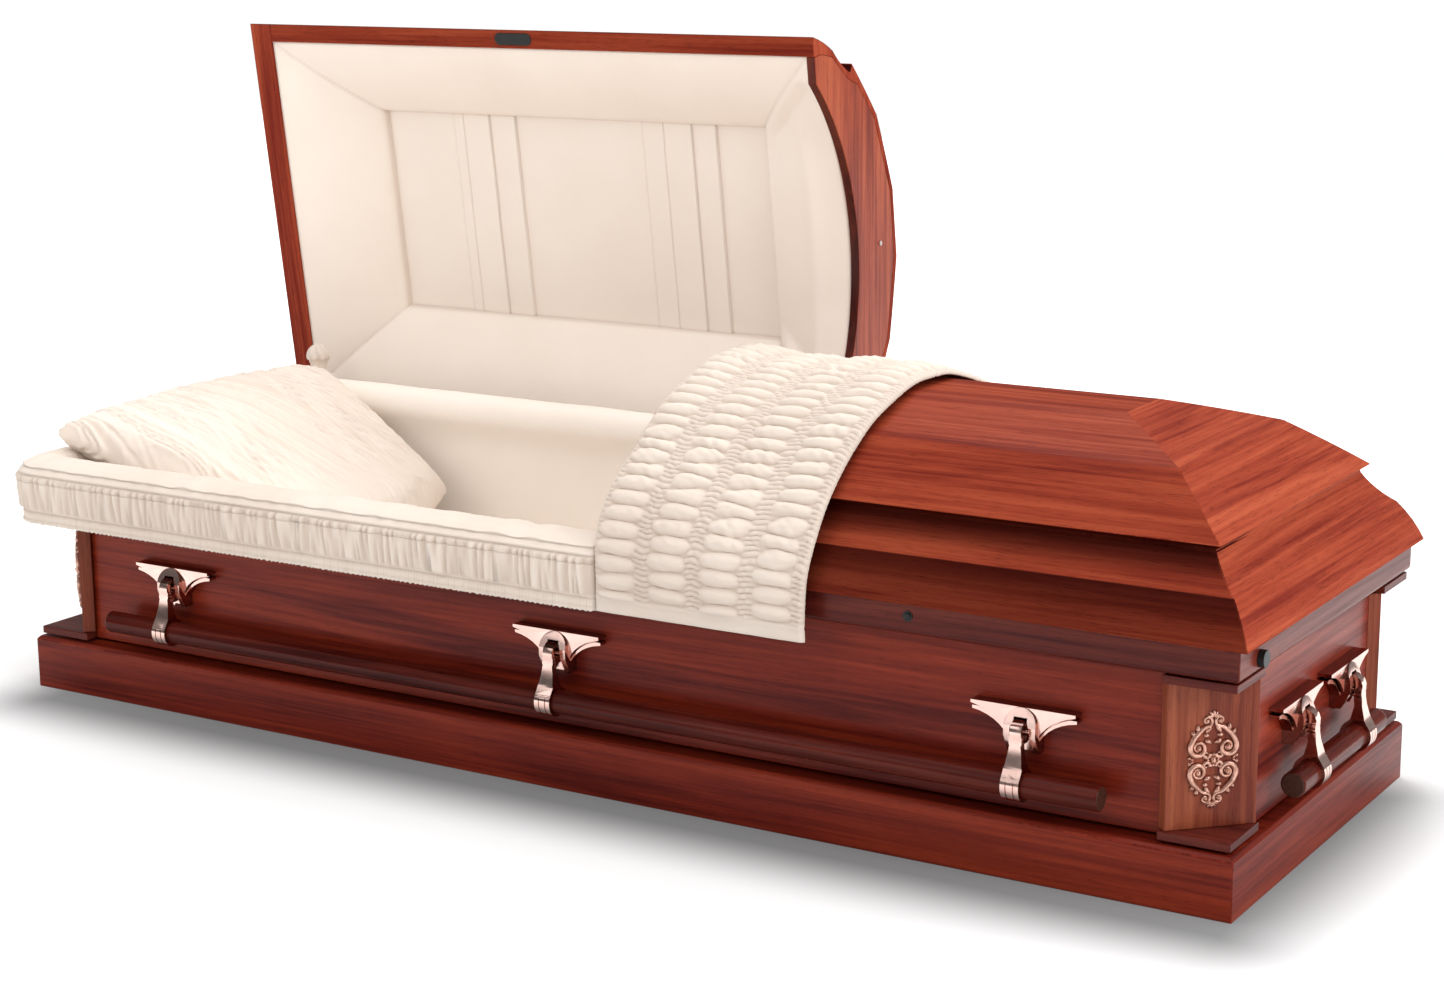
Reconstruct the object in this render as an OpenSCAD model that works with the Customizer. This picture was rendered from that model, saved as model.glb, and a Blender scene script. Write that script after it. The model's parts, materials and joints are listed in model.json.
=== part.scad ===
// A wooden funeral casket with a two-part lid: the head lid stands open, the foot lid is closed.
// Frame: +X runs to the foot end, -Y is the front, +Z is up.
// The origin is the centre of the plinth's underside.

/* [Plinth] */
// Length of the plinth and of the rail above it
plinth_len = 2050; // [1700:10:2500]
// Width of the plinth and of the rail above it
plinth_wid = 660; // [600:10:800]
// Height of the plinth
plinth_h = 85; // [60:1:110]
// Thickness of the plinth's upright face
plinth_face = 22; // [15:1:30]
// Width of the plinth's top flange
flange_wid = 60; // [50:1:80]
// Thickness of the plinth's top flange
flange_th = 15; // [10:1:20]
// Chamfer along the plinth's top edge
plinth_chamfer = 5; // [2:0.5:8]
// Width of the bearer that crosses under the middle
bearer_wid = 70; // [40:1:120]

/* [Body] */
// Height of the walls
wall_h = 217; // [190:1:280]
// Thickness of the walls
wall_th = 18; // [12:1:20]
// How far the long walls stand in from the plinth's side
side_inset = 30; // [26:1:36]
// How far the end walls stand in from the plinth's end
end_inset = 22; // [20:1:30]
// Shadow gap between the plinth and the walls
reveal = 4; // [2:0.5:6]
// Thickness of the base board
base_th = 12; // [9:1:18]
// Height of the rail
rail_h = 44; // [34:1:60]
// Width of the rail along the sides
rail_side_wid = 62; // [55:1:75]
// Width of the rail across the ends
rail_end_wid = 45; // [42:1:60]
// Rounding under the rail's outer edge
rail_round = 8; // [3:1:14]

/* [Corners] */
// Width of a slanted corner board
board_wid = 124; // [90:1:140]
// Thickness of a corner board
board_th = 20; // [12:1:24]
// How far a corner board's face cuts back from the rail's corner, length plus width
corner_cut = 105.6; // [95:0.1:125]
// Side of the square that a corner slab is cut from
slab_side = 98; // [90:1:110]
// Thickness of the lower corner slab
slab_th = 12; // [8:1:16]
// Thickness of the upper corner slab
cap_th = 11; // [8:1:16]
// Height of a carved corner ornament
ornament_h = 135; // [90:1:160]
// How far an ornament stands out from its board
ornament_relief = 8; // [4:0.5:12]

/* [Lid] */
// How far the lid's lip reaches past the rail's side
lip_side = 13; // [8:1:20]
// How far the lid's lip reaches past the rail's end
lip_end = 14; // [8:1:20]
// Gap between the rail and the lid
lid_gap = 2; // [1.5:0.1:4]
// Height of the lid above its lip
lid_h = 223; // [200:1:260]
// Thickness of the lid's shell
shell_th = 10; // [8:0.5:11]
// Where the lid is divided, measured from the middle towards the foot
split_x = 87.6; // [-100:0.1:200]
// Gap between the two lids
split_gap = 3; // [2:0.5:6]
// Thickness of the board that closes each lid at the division
end_board_th = 15; // [10:1:20]
// Rise of the arch cut in an end board
arch_rise = 98; // [60:1:110]
// Width of the arch cut in an end board
arch_wid = 540; // [400:10:560]
// Width of the rim along the lid's sides
rim_side = 31; // [26:1:36]
// Width of the rim across the lid's end
rim_end = 43; // [30:1:48]
// Angle that the lids open to
open_deg = 82.4; // [60:0.1:90]

/* [Handles] */
// Diameter of the bars
bar_d = 34; // [26:1:38]
// Gap between a bar's axis and its wall
bar_off = 35; // [30:1:42]
// Drop from a handle's pin down to its bar
bar_drop = 68.5; // [60:0.5:75]
// Height of the pins above the plinth
pin_up = 117.5; // [110:0.5:140]
// Diameter of the pins
pin_d = 6; // [4:0.5:8]
// Distance from the end of the plinth to the end of a long bar
bar_margin = 175; // [120:1:220]
// Distance from the end of the plinth to an outer plate of a long side
plate_margin = 294; // [270:1:340]
// Length of the short bars
end_bar_len = 325; // [280:1:350]
// Distance between the two plates of an end
end_plate_pitch = 181; // [160:1:186]
// Width of a plate
plate_wid = 148; // [110:1:156]

/* [Inside] */
// Thickness of the body's lining
lining_th = 17; // [8:1:25]
// Height of the mattress's top above the plinth
mattress_up = 115; // [60:1:150]
// Width of the quilt
quilt_wid = 336; // [200:1:500]
// Thickness of the quilt
quilt_th = 20; // [10:1:26]
// Height of the front border above the rail
border_up = 34; // [20:1:45]
// How low the front border hangs below the rail's top
border_down = 68; // [40:1:90]

/* [Hidden] */
$fn = 48;
SIDES = ["front", "back"];
ENDS = ["head", "foot"];
WALLS = ["front", "back", "head", "foot"];
function places(wall) = wall == "front" || wall == "back" ? [1, 2, 3] : [1, 2];

WOOD = "#6e2a1c";
DARK_WOOD = "#4a1d17";
GOLD = "#d9a58a";
COPPER = "#b9826c";
CREAM = "#f2e6da";
IVORY = "#e9dfd2";
BLACK = "#1b1918";
STEEL = "#8c7a66";

// Plan
half_l = plinth_len / 2;
half_w = plinth_wid / 2;
wall_x = half_l - end_inset;
wall_y = half_w - side_inset;
inner_x = wall_x - wall_th;
inner_y = wall_y - wall_th;
face_sum = half_l + half_w - corner_cut;
back_sum = face_sum - board_th * sqrt(2);
well_x = half_l - rail_end_wid;
well_y = half_w - rail_side_wid;
lid_x = half_l + lip_end;
lid_y = half_w + lip_side;

// Levels
wall_z = plinth_h + reveal;
wall_top = wall_z + wall_h;
rail_z = wall_top + 2;
rail_top = wall_top + rail_h;
lid_z = rail_top + lid_gap;
slab_z = plinth_h + 3.5;
board_z = slab_z + slab_th;
cap_z = wall_top - cap_th;
pin_z = plinth_h + pin_up;
mattress_top = plinth_h + mattress_up;

// Handle sizes that depend on each other
pin_r = pin_d / 2;
pin_clear = 0.05;
pin_off = bar_off - 11;
knuckle_r = 15.5;
knuckle_wid = 16;
knuckle_room = 17.9;
bar_z = pin_z - bar_drop;
ring_r = bar_d / 2 + 5;
ring_wid = 26;
plate_depth = 20;
boss_wid = 45;
boss_up = 30;
boss_down = 31;
eye_r = 14;

// Lock plate under the head lid's front rim, measured from the end of the rail
lock_from_end = 520;

// Hinge along the back
hinge_r = 4.5;
hinge_pin_r = 2;
hinge_clear = 0.05;
leaf_th = 1.5;
hinge_y = half_w + 24;
hinge_z = rail_top - 4;
knuckle_pitch = 50;
head_knuckles = floor((lid_x + split_x - 60) / knuckle_pitch);
foot_knuckles = floor((lid_x - split_x - 60) / knuckle_pitch);

// Soft goods
soft_gap = 0.5;
border_out = 40;
border_end_out = 25;
border_th = 13;
border_corner_r = 75;
quilt_x = split_x + 9.4;

// ---------- lines and outlines ----------

function unit(v) = v / norm(v);
// the normal on the right-hand side of the way from a to b
function right_of(a, b) = let (d = unit(b - a)) [d[1], -d[0]];
// an open line moved to its right by d, with mitred corners
function moved(line, d) =
    let (last = len(line) - 1)
    [for (i = [0 : last])
        let (
            n1 = i > 0 ? right_of(line[i - 1], line[i]) : right_of(line[0], line[1]),
            n2 = i < last ? right_of(line[i], line[i + 1]) : n1
        )
        line[i] + d * (n1 + n2) / (1 + n1 * n2)];
function reversed(list) = [for (i = [len(list) - 1 : -1 : 0]) list[i]];
// a run of points from a to b that swells to the left by sag, without b itself
function swell(a, b, sag, steps = 4) =
    let (n = -right_of(a, b))
    [for (i = [0 : steps - 1])
        let (t = i / steps)
        a + t * (b - a) + 4 * sag * t * (1 - t) * n];
function arc(c, r, from, to, steps) =
    [for (i = [0 : steps]) let (a = from + (to - from) * i / steps) c + r * [cos(a), sin(a)]];
// a closed section from one side's line, which gives [inset, height]
function section(line, half, base) = concat(
    [for (p = line) [p[0] - half, base + p[1]]],
    [for (p = reversed(line)) [half - p[0], base + p[1]]]
);

// a solid whose four sides all follow the same line, mitred at the corners
module hipped(line_x, line_y, half_x, half_y, base) {
    intersection() {
        rotate([90, 0, 90]) linear_extrude(height = 2 * half_x, center = true)
            polygon(section(line_y, half_y, base));
        rotate([90, 0, 0]) linear_extrude(height = 2 * half_y, center = true)
            polygon(section(line_x, half_x, base));
    }
}

module block(x0, x1, y0, y1, z0, z1) {
    translate([x0, y0, z0]) cube([x1 - x0, y1 - y0, z1 - z0]);
}

module flip_x(on) {
    if (on) mirror([1, 0, 0]) children();
    else children();
}

module flip_y(on) {
    if (on) mirror([0, 1, 0]) children();
    else children();
}

// takes a piece drawn at the back foot corner to the named corner
module at_corner(side, end) {
    flip_x(end == "head") flip_y(side == "front") children();
}

// takes a piece drawn on a wall at y = 0 that faces +Y to the named wall
module on_wall(wall, along) {
    turn = wall == "front" ? 180 : wall == "back" ? 0 : wall == "head" ? 90 : -90;
    away = wall == "front" || wall == "back" ? wall_y : wall_x;
    sign = wall == "front" || wall == "foot" ? -1 : 1;
    rotate([0, 0, turn]) translate([sign * along, away, 0]) children();
}

// where the i-th plate of a wall stands, counted from the head or the front
function plate_at(wall, i) =
    wall == "front" || wall == "back"
        ? (i - 2) * (half_l - plate_margin)
        : (i - 1.5) * end_plate_pitch;

// ---------- plinth and body ----------

module plinth() {
    face = [[0, 0], [0, plinth_h - plinth_chamfer], [plinth_chamfer, plinth_h]];
    under = plinth_h - flange_th;
    color(WOOD) union() {
        difference() {
            hipped(face, face, half_l, half_w, 0);
            block(-half_l + plinth_face, half_l - plinth_face,
                  -half_w + plinth_face, half_w - plinth_face, -1, under);
            block(-half_l + flange_wid, half_l - flange_wid,
                  -half_w + flange_wid, half_w - flange_wid, -1, plinth_h + 1);
        }
        block(-bearer_wid / 2, bearer_wid / 2,
              -half_w + plinth_face, half_w - plinth_face, 0, under);
    }
}

module base_board() {
    color(DARK_WOOD) translate([0, 0, plinth_h]) linear_extrude(height = base_th) polygon([
        [inner_x, back_sum - inner_x], [back_sum - inner_y, inner_y],
        [inner_y - back_sum, inner_y], [-inner_x, back_sum - inner_x],
        [-inner_x, inner_x - back_sum], [inner_y - back_sum, -inner_y],
        [back_sum - inner_y, -inner_y], [inner_x, inner_x - back_sum]
    ]);
}

module long_wall() {
    color(WOOD) translate([0, 0, wall_z]) linear_extrude(height = wall_h) polygon([
        [back_sum - inner_y, inner_y], [back_sum - wall_y, wall_y],
        [wall_y - back_sum, wall_y], [inner_y - back_sum, inner_y]
    ]);
}

module end_wall() {
    color(WOOD) translate([0, 0, wall_z]) linear_extrude(height = wall_h) polygon([
        [inner_x, back_sum - inner_x], [wall_x, back_sum - wall_x],
        [wall_x, wall_x - back_sum], [inner_x, inner_x - back_sum]
    ]);
}

module wall(name) {
    if (name == "front" || name == "back") flip_y(name == "front") long_wall();
    else flip_x(name == "head") end_wall();
}

// the point at the middle of a corner board's face
function board_mid() =
    let (shift = (half_l - half_w + side_inset / 2 - end_inset / 2 - 3) / 2)
    [face_sum / 2 + shift, face_sum / 2 - shift];

module corner_board() {
    color(WOOD) translate([board_mid()[0], board_mid()[1], board_z]) rotate([0, 0, 45])
        block(-board_th, 0, -board_wid / 2, board_wid / 2, 0, cap_z - board_z);
}

module corner_slab(inset, z, th) {
    x1 = half_l - inset;
    y1 = half_w - inset;
    x0 = x1 - slab_side;
    y0 = y1 - slab_side;
    translate([0, 0, z]) linear_extrude(height = th)
        polygon([[x1, y1], [x0, y1], [x0, back_sum - x0], [back_sum - y0, y0], [x1, y0]]);
}

module corner_block() {
    color(DARK_WOOD) corner_slab(7.5, slab_z, slab_th);
}

module rail() {
    outside = concat(arc([rail_round, rail_round], rail_round, 270, 180, 5),
                     [[0, rail_top - rail_z]]);
    color(DARK_WOOD) union() {
        difference() {
            union() {
                hipped(outside, outside, half_l, half_w, rail_z);
                block(-wall_x, wall_x, -wall_y, wall_y, wall_top, rail_z + 1);
            }
            block(-well_x, well_x, -well_y, well_y, wall_top - 1, rail_top + 1);
        }
        for (side = SIDES, end = ENDS) at_corner(side, end) corner_slab(3.5, cap_z, cap_th);
    }
}

// ---------- corner ornaments ----------

// points along a spiral that winds in from r0 to r1
function spiral(c, r0, r1, from, to, steps) =
    [for (i = [0 : steps])
        let (t = i / steps, a = from + (to - from) * t, r = r0 + (r1 - r0) * t)
        c + r * [cos(a), sin(a)]];
// a scroll that winds out of a small volute, crosses to the middle and winds into a large one
function scroll(small, big, rs, rb) = concat(
    spiral(small, rs * 0.2, rs, 400, -25, 14),
    spiral(big, rb, rb * 0.3, 150, 560, 20)
);
// a closed band of half width w along a path, slimmer at its two ends
function band(path, w) =
    let (
        last = len(path) - 1,
        way = [for (i = [0 : last]) unit(path[min(i + 1, last)] - path[max(i - 1, 0)])],
        wide = [for (i = [0 : last]) w * (0.4 + 0.6 * pow(sin(180 * i / last), 2))]
    )
    concat(
        [for (i = [0 : last]) path[i] + wide[i] * [way[i][1], -way[i][0]]],
        [for (i = [last : -1 : 0]) path[i] - wide[i] * [way[i][1], -way[i][0]]]
    );

module leaf(x, y, turn, long, wide) {
    translate([x, y]) rotate(turn)
        polygon([[-wide * 0.4, 0], [-wide / 2, long * 0.45], [0, long], [wide / 2, long * 0.45],
                 [wide * 0.4, 0]]);
}

module ornament_half(k) {
    small = k * [9, 52];
    big = k * [19, 13];
    for (up = [0, 1]) flip_y(up == 1) {
        linear_extrude(height = ornament_relief)
            polygon(band(scroll(small, big, k * 8.6, k * 16), k * 3.1));
        translate([small[0], small[1], 0]) cylinder(r = k * 2.8, h = ornament_relief);
        translate([big[0], big[1], 0]) cylinder(r = k * 5, h = ornament_relief);
        linear_extrude(height = ornament_relief * 0.7) {
            leaf(k * 21, k * 30, -60, k * 13, k * 9);
            leaf(k * 24, k * 3, -85, k * 11, k * 7);
            leaf(k * 3, k * 56, -25, k * 10, k * 8);
        }
    }
}

module ornament() {
    k = ornament_h / 135;
    color(COPPER) translate([board_mid()[0], board_mid()[1], (board_z + cap_z) / 2 - 7])
        rotate([90, 0, 135]) union() {
            for (side = [0, 1]) flip_x(side == 1) ornament_half(k);
            linear_extrude(height = ornament_relief * 0.4) scale([k, k])
                polygon([[-4, 62], [4, 62], [13, 44], [12, 0], [13, -44], [4, -62], [-4, -62],
                         [-13, -44], [-12, 0], [-13, 44]]);
            cylinder(r = k * 7.5, h = ornament_relief);
        }
}

// ---------- handles ----------

// the lower edge of a plate's wing, from its tip in to the middle
function wing_edge(drop) =
    let (tip = [plate_wid / 2, boss_up - 4 - drop], foot = [12, -boss_down - drop / 2])
    concat(swell(tip, foot, -13, 8), [foot]);

module wing(drop, rise) {
    edge = wing_edge(drop);
    rotate([90, 0, 180]) linear_extrude(height = rise) union() {
        polygon(concat([[0, boss_up - drop], [plate_wid / 2, boss_up - drop]], edge, [[0, -20]]));
        polygon([for (p = reversed(concat([[0, boss_up - drop], [plate_wid / 2, boss_up - drop]],
                 edge, [[0, -20]]))) [-p[0], p[1]]]);
    }
}

module along_x(r, wid) {
    rotate([0, 90, 0]) cylinder(r = r, h = wid, center = true);
}

module boss() {
    // side view of the two cheeks that hold the pin
    cheek = [[0, -boss_down], [16, -boss_down], [pin_off + 5, -7], [pin_off + 5, 6],
             [plate_depth + 1, boss_up], [0, boss_up]];
    intersection() {
        rotate([90, 0, 90]) linear_extrude(height = boss_wid, center = true) polygon(cheek);
        union() {
            rotate([-90, 0, 0]) translate([0, -(boss_up - boss_wid / 2), 0])
                cylinder(r = boss_wid / 2, h = pin_off + 6);
            block(-boss_wid / 2, boss_wid / 2, 0, pin_off + 6, -boss_down, boss_up - boss_wid / 2);
        }
    }
}

module plate() {
    web = 5;
    groove = 3;
    color(GOLD) translate([0, 0, pin_z]) union() {
        difference() {
            union() {
                wing(0, plate_depth);
                difference() {
                    wing(9, plate_depth - 5);
                    translate([0, web, 0]) wing(groove, plate_depth);
                }
                boss();
            }
            translate([0, web, 0]) rotate([-90, 0, 0]) cylinder(r = eye_r, h = plate_depth * 2);
            block(-eye_r, eye_r, web, plate_depth * 2, -boss_down - 20, 0);
            translate([0, pin_off, 0]) along_x(knuckle_room, knuckle_wid + 3);
        }
        translate([0, pin_off, 0]) along_x(pin_r, boss_wid - 6);
        for (s = [-1, 1]) translate([s * (knuckle_wid / 2 + 3.5), pin_off, 0]) sphere(r = 3.2);
    }
}

module arm() {
    // side view from the knuckle down to the ring, as [away from the wall, height]
    side = [[pin_off, 0], [pin_off + 4, knuckle_r], [pin_off + 14, 9], [pin_off + 17, 1],
            [pin_off + 16, -10], [pin_off + 18, -28], [bar_off + 12, -bar_drop + ring_r],
            [bar_off + ring_r - 1, -bar_drop + 8], [bar_off + 3, -bar_drop],
            [bar_off - 8, -bar_drop + ring_r], [pin_off + 7, -28], [pin_off + 4, -10]];
    // half widths down the same length
    face = [[5, knuckle_r + 1], [knuckle_wid / 2, 10], [knuckle_wid / 2, -4], [9.2, -5], [9.2, -9],
            [8, -10], [9, -11], [9, -14], [7.8, -16], [11.8, -42], [ring_wid / 2, -46],
            [ring_wid / 2, -bar_drop]];
    color(GOLD) translate([0, 0, pin_z]) difference() {
        union() {
            intersection() {
                rotate([90, 0, 90]) linear_extrude(height = ring_wid, center = true) polygon(side);
                rotate([90, 0, 0]) linear_extrude(height = 200, center = true) polygon(concat(
                    face, [for (p = reversed(face)) [-p[0], p[1]]]));
            }
            translate([0, pin_off, 0]) along_x(knuckle_r, knuckle_wid);
            translate([0, bar_off, -bar_drop]) {
                along_x(ring_r - 1.5, ring_wid);
                for (s = [-1, 0, 1]) translate([s * (ring_wid / 2 - 3.5), 0, 0])
                    along_x(ring_r, s == 0 ? 9 : 7);
            }
        }
        translate([0, pin_off, 0]) along_x(pin_r + pin_clear, knuckle_wid * 2);
        translate([0, bar_off, -bar_drop]) along_x(bar_d / 2, ring_wid * 2);
    }
}

module bar(wall) {
    long = wall == "front" || wall == "back" ? plinth_len - 2 * bar_margin : end_bar_len;
    color(WOOD) on_wall(wall, 0) translate([0, bar_off, bar_z]) along_x(bar_d / 2, long);
}

// ---------- lid ----------

lip_break = [32, 58];
cove_top = [72.5, 103.5];
eave_in = [73, 107];
eave_tip = [62, 114];
hip = [157, 184];
crown = [287, lid_h];
lid_outside = concat(
    swell([0, 0], lip_break, 2.5), swell(lip_break, cove_top, -3, 6), [cove_top, eave_in],
    swell(eave_tip, hip, 1), swell(hip, crown, 1), [crown]
);
// the line of the shell's inside, with the rim of the given width below it
function lid_inside(rim, half) =
    let (
        core = moved([[20, 36], lip_break, [76, 106], [90, 134.6], hip, crown,
                      [max(half, crown[0] + 10), lid_h]], shell_th),
        high = [for (i = [1 : len(core) - 2]) [max(core[i][0], rim), core[i][1]]]
    )
    concat([[rim, -1], [rim, 22]], high);

module closed_lid() {
    color(WOOD) difference() {
        hipped(lid_outside, lid_outside, lid_x, lid_y, lid_z);
        hipped(lid_inside(rim_end, lid_x), lid_inside(rim_side, lid_y), lid_x, lid_y, lid_z);
    }
}

module keep_x(x0, x1) {
    intersection() {
        children();
        block(x0, x1, -2 * half_w, 2 * half_w, 0, 2 * lid_z);
    }
}

// turns what is drawn closed to the open position, or to any smaller angle
module opened(deg) {
    translate([0, hinge_y, hinge_z]) rotate([-deg, 0, 0]) translate([0, -hinge_y, -hinge_z])
        children();
}

module end_board(x0) {
    chord = arch_wid / 2;
    arch_r = (chord * chord + arch_rise * arch_rise) / (2 * arch_rise);
    inside = [for (p = lid_inside(rim_side, lid_y)) [p[0], max(p[1], 0)]];
    color(WOOD) difference() {
        translate([x0, 0, 0]) rotate([90, 0, 90]) linear_extrude(height = end_board_th)
            polygon(section(inside, lid_y, lid_z));
        translate([x0 - 1, 0, lid_z + arch_rise - arch_r]) rotate([0, 90, 0])
            cylinder(r = arch_r, h = end_board_th + 2, $fn = 96);
    }
}

// a shallow tray of padded cloth: sloping borders rise to a flat panel, open at the division
module lid_tray(x_end, x_open) {
    side_slope = 141;
    end_slope = 178;
    deep = 100;
    th = 12;
    edge = 2;
    way = x_open > x_end ? 1 : -1;
    y1 = lid_y - rim_side - soft_gap;
    base = lid_z + soft_gap;
    color(CREAM) difference() {
        intersection() {
            rotate([90, 0, 90]) linear_extrude(height = 3 * half_l, center = true) polygon([
                [-y1, base], [-y1, base + th], [side_slope - y1, base + deep + th],
                [y1 - side_slope, base + deep + th], [y1, base + th], [y1, base]]);
            rotate([90, 0, 0]) linear_extrude(height = 3 * half_w, center = true) polygon([
                [x_end, base], [x_end, base + th], [x_end + way * end_slope, base + deep + th],
                [x_open, base + deep + th], [x_open, base]]);
        }
        intersection() {
            rotate([90, 0, 90]) linear_extrude(height = 3 * half_l, center = true) polygon([
                [edge - y1, base - 1], [edge + side_slope - y1, base + deep],
                [y1 - side_slope - edge, base + deep], [y1 - edge, base - 1]]);
            rotate([90, 0, 0]) linear_extrude(height = 3 * half_w, center = true) polygon([
                [x_end + way * edge, base - 1], [x_end + way * (edge + end_slope), base + deep],
                [x_open + way, base + deep], [x_open + way, base - 1]]);
        }
    }
}

head_cut = split_x - split_gap / 2;
foot_cut = split_x + split_gap / 2;

module head_lid() {
    opened(open_deg) keep_x(-lid_x - 1, head_cut) closed_lid();
}

module head_lid_end_board() {
    opened(open_deg) end_board(head_cut - end_board_th);
}

module head_lid_lining() {
    opened(open_deg)
        lid_tray(rim_end + soft_gap - lid_x, head_cut - end_board_th - soft_gap);
}

module foot_lid() {
    keep_x(foot_cut, lid_x + 1) closed_lid();
}

module foot_lid_end_board() {
    end_board(foot_cut);
}

module foot_lid_lining() {
    lid_tray(lid_x - rim_end - soft_gap, foot_cut + end_board_th + soft_gap);
}

module lock_plate() {
    long = 73;
    wide = 20;
    th = 1.2;
    color(BLACK) opened(open_deg)
        translate([lock_from_end - half_l, rim_side / 2 - lid_y, lid_z - th])
            linear_extrude(height = th) union() {
                circle(d = wide);
                translate([long - wide, 0]) circle(d = wide);
                translate([0, -wide / 2]) square([long - wide, wide]);
            }
}

// ---------- hinge ----------

// one knuckle of the hinge; number 0 is centred on the division of the lid
module knuckle(i, bore) {
    long = knuckle_pitch - 0.6;
    translate([split_x + i * knuckle_pitch, hinge_y, hinge_z]) difference() {
        along_x(hinge_r, long);
        if (bore > 0) along_x(bore, long + 2);
    }
}

module body_hinge_leaf() {
    x0 = split_x - head_knuckles * knuckle_pitch - knuckle_pitch / 2;
    x1 = split_x + foot_knuckles * knuckle_pitch + knuckle_pitch / 2;
    low = hinge_z - hinge_r;
    color(STEEL) union() {
        block(x0, x1, half_w, half_w + leaf_th, low - 25, low + leaf_th);
        block(x0, x1, half_w, hinge_y - hinge_r - 1, low, low + leaf_th);
        for (i = [-head_knuckles : foot_knuckles]) if (i % 2 == 0) {
            knuckle(i, 0);
            translate([split_x + (i - 0.5) * knuckle_pitch + 0.3, hinge_y - hinge_r - 2, low])
                cube([knuckle_pitch - 0.6, hinge_r + 2, leaf_th]);
        }
        translate([(x0 + x1) / 2, hinge_y, hinge_z]) along_x(hinge_pin_r, x1 - x0 - 1);
    }
}

// the leaf that carries the knuckles with odd numbers from a to b
module lid_hinge_leaf(a, b) {
    high = lid_z - leaf_th;
    half = knuckle_pitch / 2 - 0.3;
    color(STEEL) for (i = [a : b]) if (i % 2 != 0) {
        x = split_x + i * knuckle_pitch;
        knuckle(i, hinge_pin_r + hinge_clear);
        difference() {
            union() {
                block(x - half, x + half, half_w - 12, hinge_y - 3, high, lid_z);
                block(x - half, x + half, hinge_y - 4.5, hinge_y - 3, hinge_z, lid_z);
            }
            translate([x, hinge_y, hinge_z]) along_x(hinge_pin_r + hinge_clear, 2 * knuckle_pitch);
        }
    }
    color(STEEL) block(split_x + (a - 0.5) * knuckle_pitch + (a > 0 ? 1 : 0),
                       split_x + (b + 0.5) * knuckle_pitch, half_w - 12, half_w + 4, high, lid_z);
}

module head_hinge_leaf() {
    opened(open_deg) lid_hinge_leaf(-head_knuckles, -1);
}

module foot_hinge_leaf() {
    lid_hinge_leaf(1, foot_knuckles);
}

// ---------- small fittings ----------

module foot_end_plug() {
    color(BLACK) translate([half_l + 4.5, 68 - half_w, rail_top - 24]) along_x(11.5, 9);
}

module front_plug() {
    color(BLACK) translate([half_l - 455, -half_w, rail_top - 16]) rotate([90, 0, 0])
        cylinder(r = 4.5, h = 3);
}

// ---------- soft goods ----------

lining_x = well_x - soft_gap;
lining_y = well_y - soft_gap;
floor_z = plinth_h + base_th + soft_gap;
roll_r = 30;
roll_y = half_w - 64;
roll_z = rail_top + roll_r + 16;
back_roll_x = lining_y - back_sum + 1;
// how far the pillow stands in from the front lining, to clear the slanted corner boards
pillow_in = 36;

// the plan inside the walls and the corner boards, drawn in by d
module inside_plan(d) {
    x = lining_x - d;
    y = lining_y - d;
    cut = back_sum - (soft_gap + d) * sqrt(2);
    polygon([[x, cut - x], [cut - y, y], [y - cut, y], [-x, cut - x],
             [-x, x - cut], [y - cut, -y], [cut - y, -y], [x, x - cut]]);
}

module mattress() {
    color(CREAM) translate([0, 0, floor_z]) linear_extrude(height = mattress_top - floor_z)
        inside_plan(lining_th + 3);
}

module body_lining() {
    roll_end = split_x - 20;
    color(CREAM) union() {
        translate([0, 0, floor_z]) linear_extrude(height = lid_z - soft_gap - floor_z)
            difference() {
                inside_plan(0);
                inside_plan(lining_th);
            }
        block(back_roll_x, roll_end, lining_y - lining_th, lining_y, rail_top - 20, roll_z);
        translate([(roll_end - lining_x) / 2, roll_y, roll_z])
            along_x(roll_r, lining_x + roll_end);
    }
}

module pillow() {
    // side view, drawn from the head lining's face: its low points lie on the mattress and
    // its high ones stand over the rail
    x = -lining_x + lining_th;
    low = mattress_top + 3;
    top = rail_top;
    y0 = pillow_in - lining_y;
    y1 = roll_y - roll_r - 3;
    color(IVORY) translate([0, y1, 0]) rotate([90, 0, 0]) linear_extrude(height = y1 - y0)
        polygon([[x - 43, top + 40], [x - 20, top + 38], [x + 2, top + 16], [x + 10, top - 20],
                 [x + 40, low + 50], [x + 142, low], [x + 442, low], [x + 462, low + 20],
                 [x + 456, low + 44], [x + 362, (low + top) / 2 + 24], [x + 212, top + 12],
                 [x + 62, top + 70], [x - 22, top + 90], [x - 47, top + 74]]);
}

// a level plate whose outer corner towards the head and the front is round
module border_plan(x0, y0, r, z0, z1) {
    end = head_cut - 1;
    far = well_y - 6;
    block(x0 + r, end, y0, far, z0, z1);
    block(x0, x0 + r + 1, y0 + r, far, z0, z1);
    translate([x0 + r, y0 + r, z0]) cylinder(r = r, h = z1 - z0, $fn = 64);
}

module extendover() {
    x0 = -half_l - border_end_out;
    y0 = -half_w - border_out;
    r = border_corner_r;
    t = border_th;
    low = rail_top - border_down;
    high = rail_top + border_up;
    color(IVORY) difference() {
        border_plan(x0, y0, r, low, high);
        translate([0, 0, -1]) intersection() {
            border_plan(x0 + t, y0 + t, r - t, low, lid_z + 2);
            block(-2 * half_l, 2 * half_l, -half_w * 2, half_w * 2, low, lid_z + 1.5);
        }
        block(-well_x - 4, half_l, -well_y - 3, half_w, low - 1, high + 1);
        block(x0 + t, half_l, y0 + t + 4, half_w, low - 1, lid_z + 0.5);
    }
}

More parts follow.
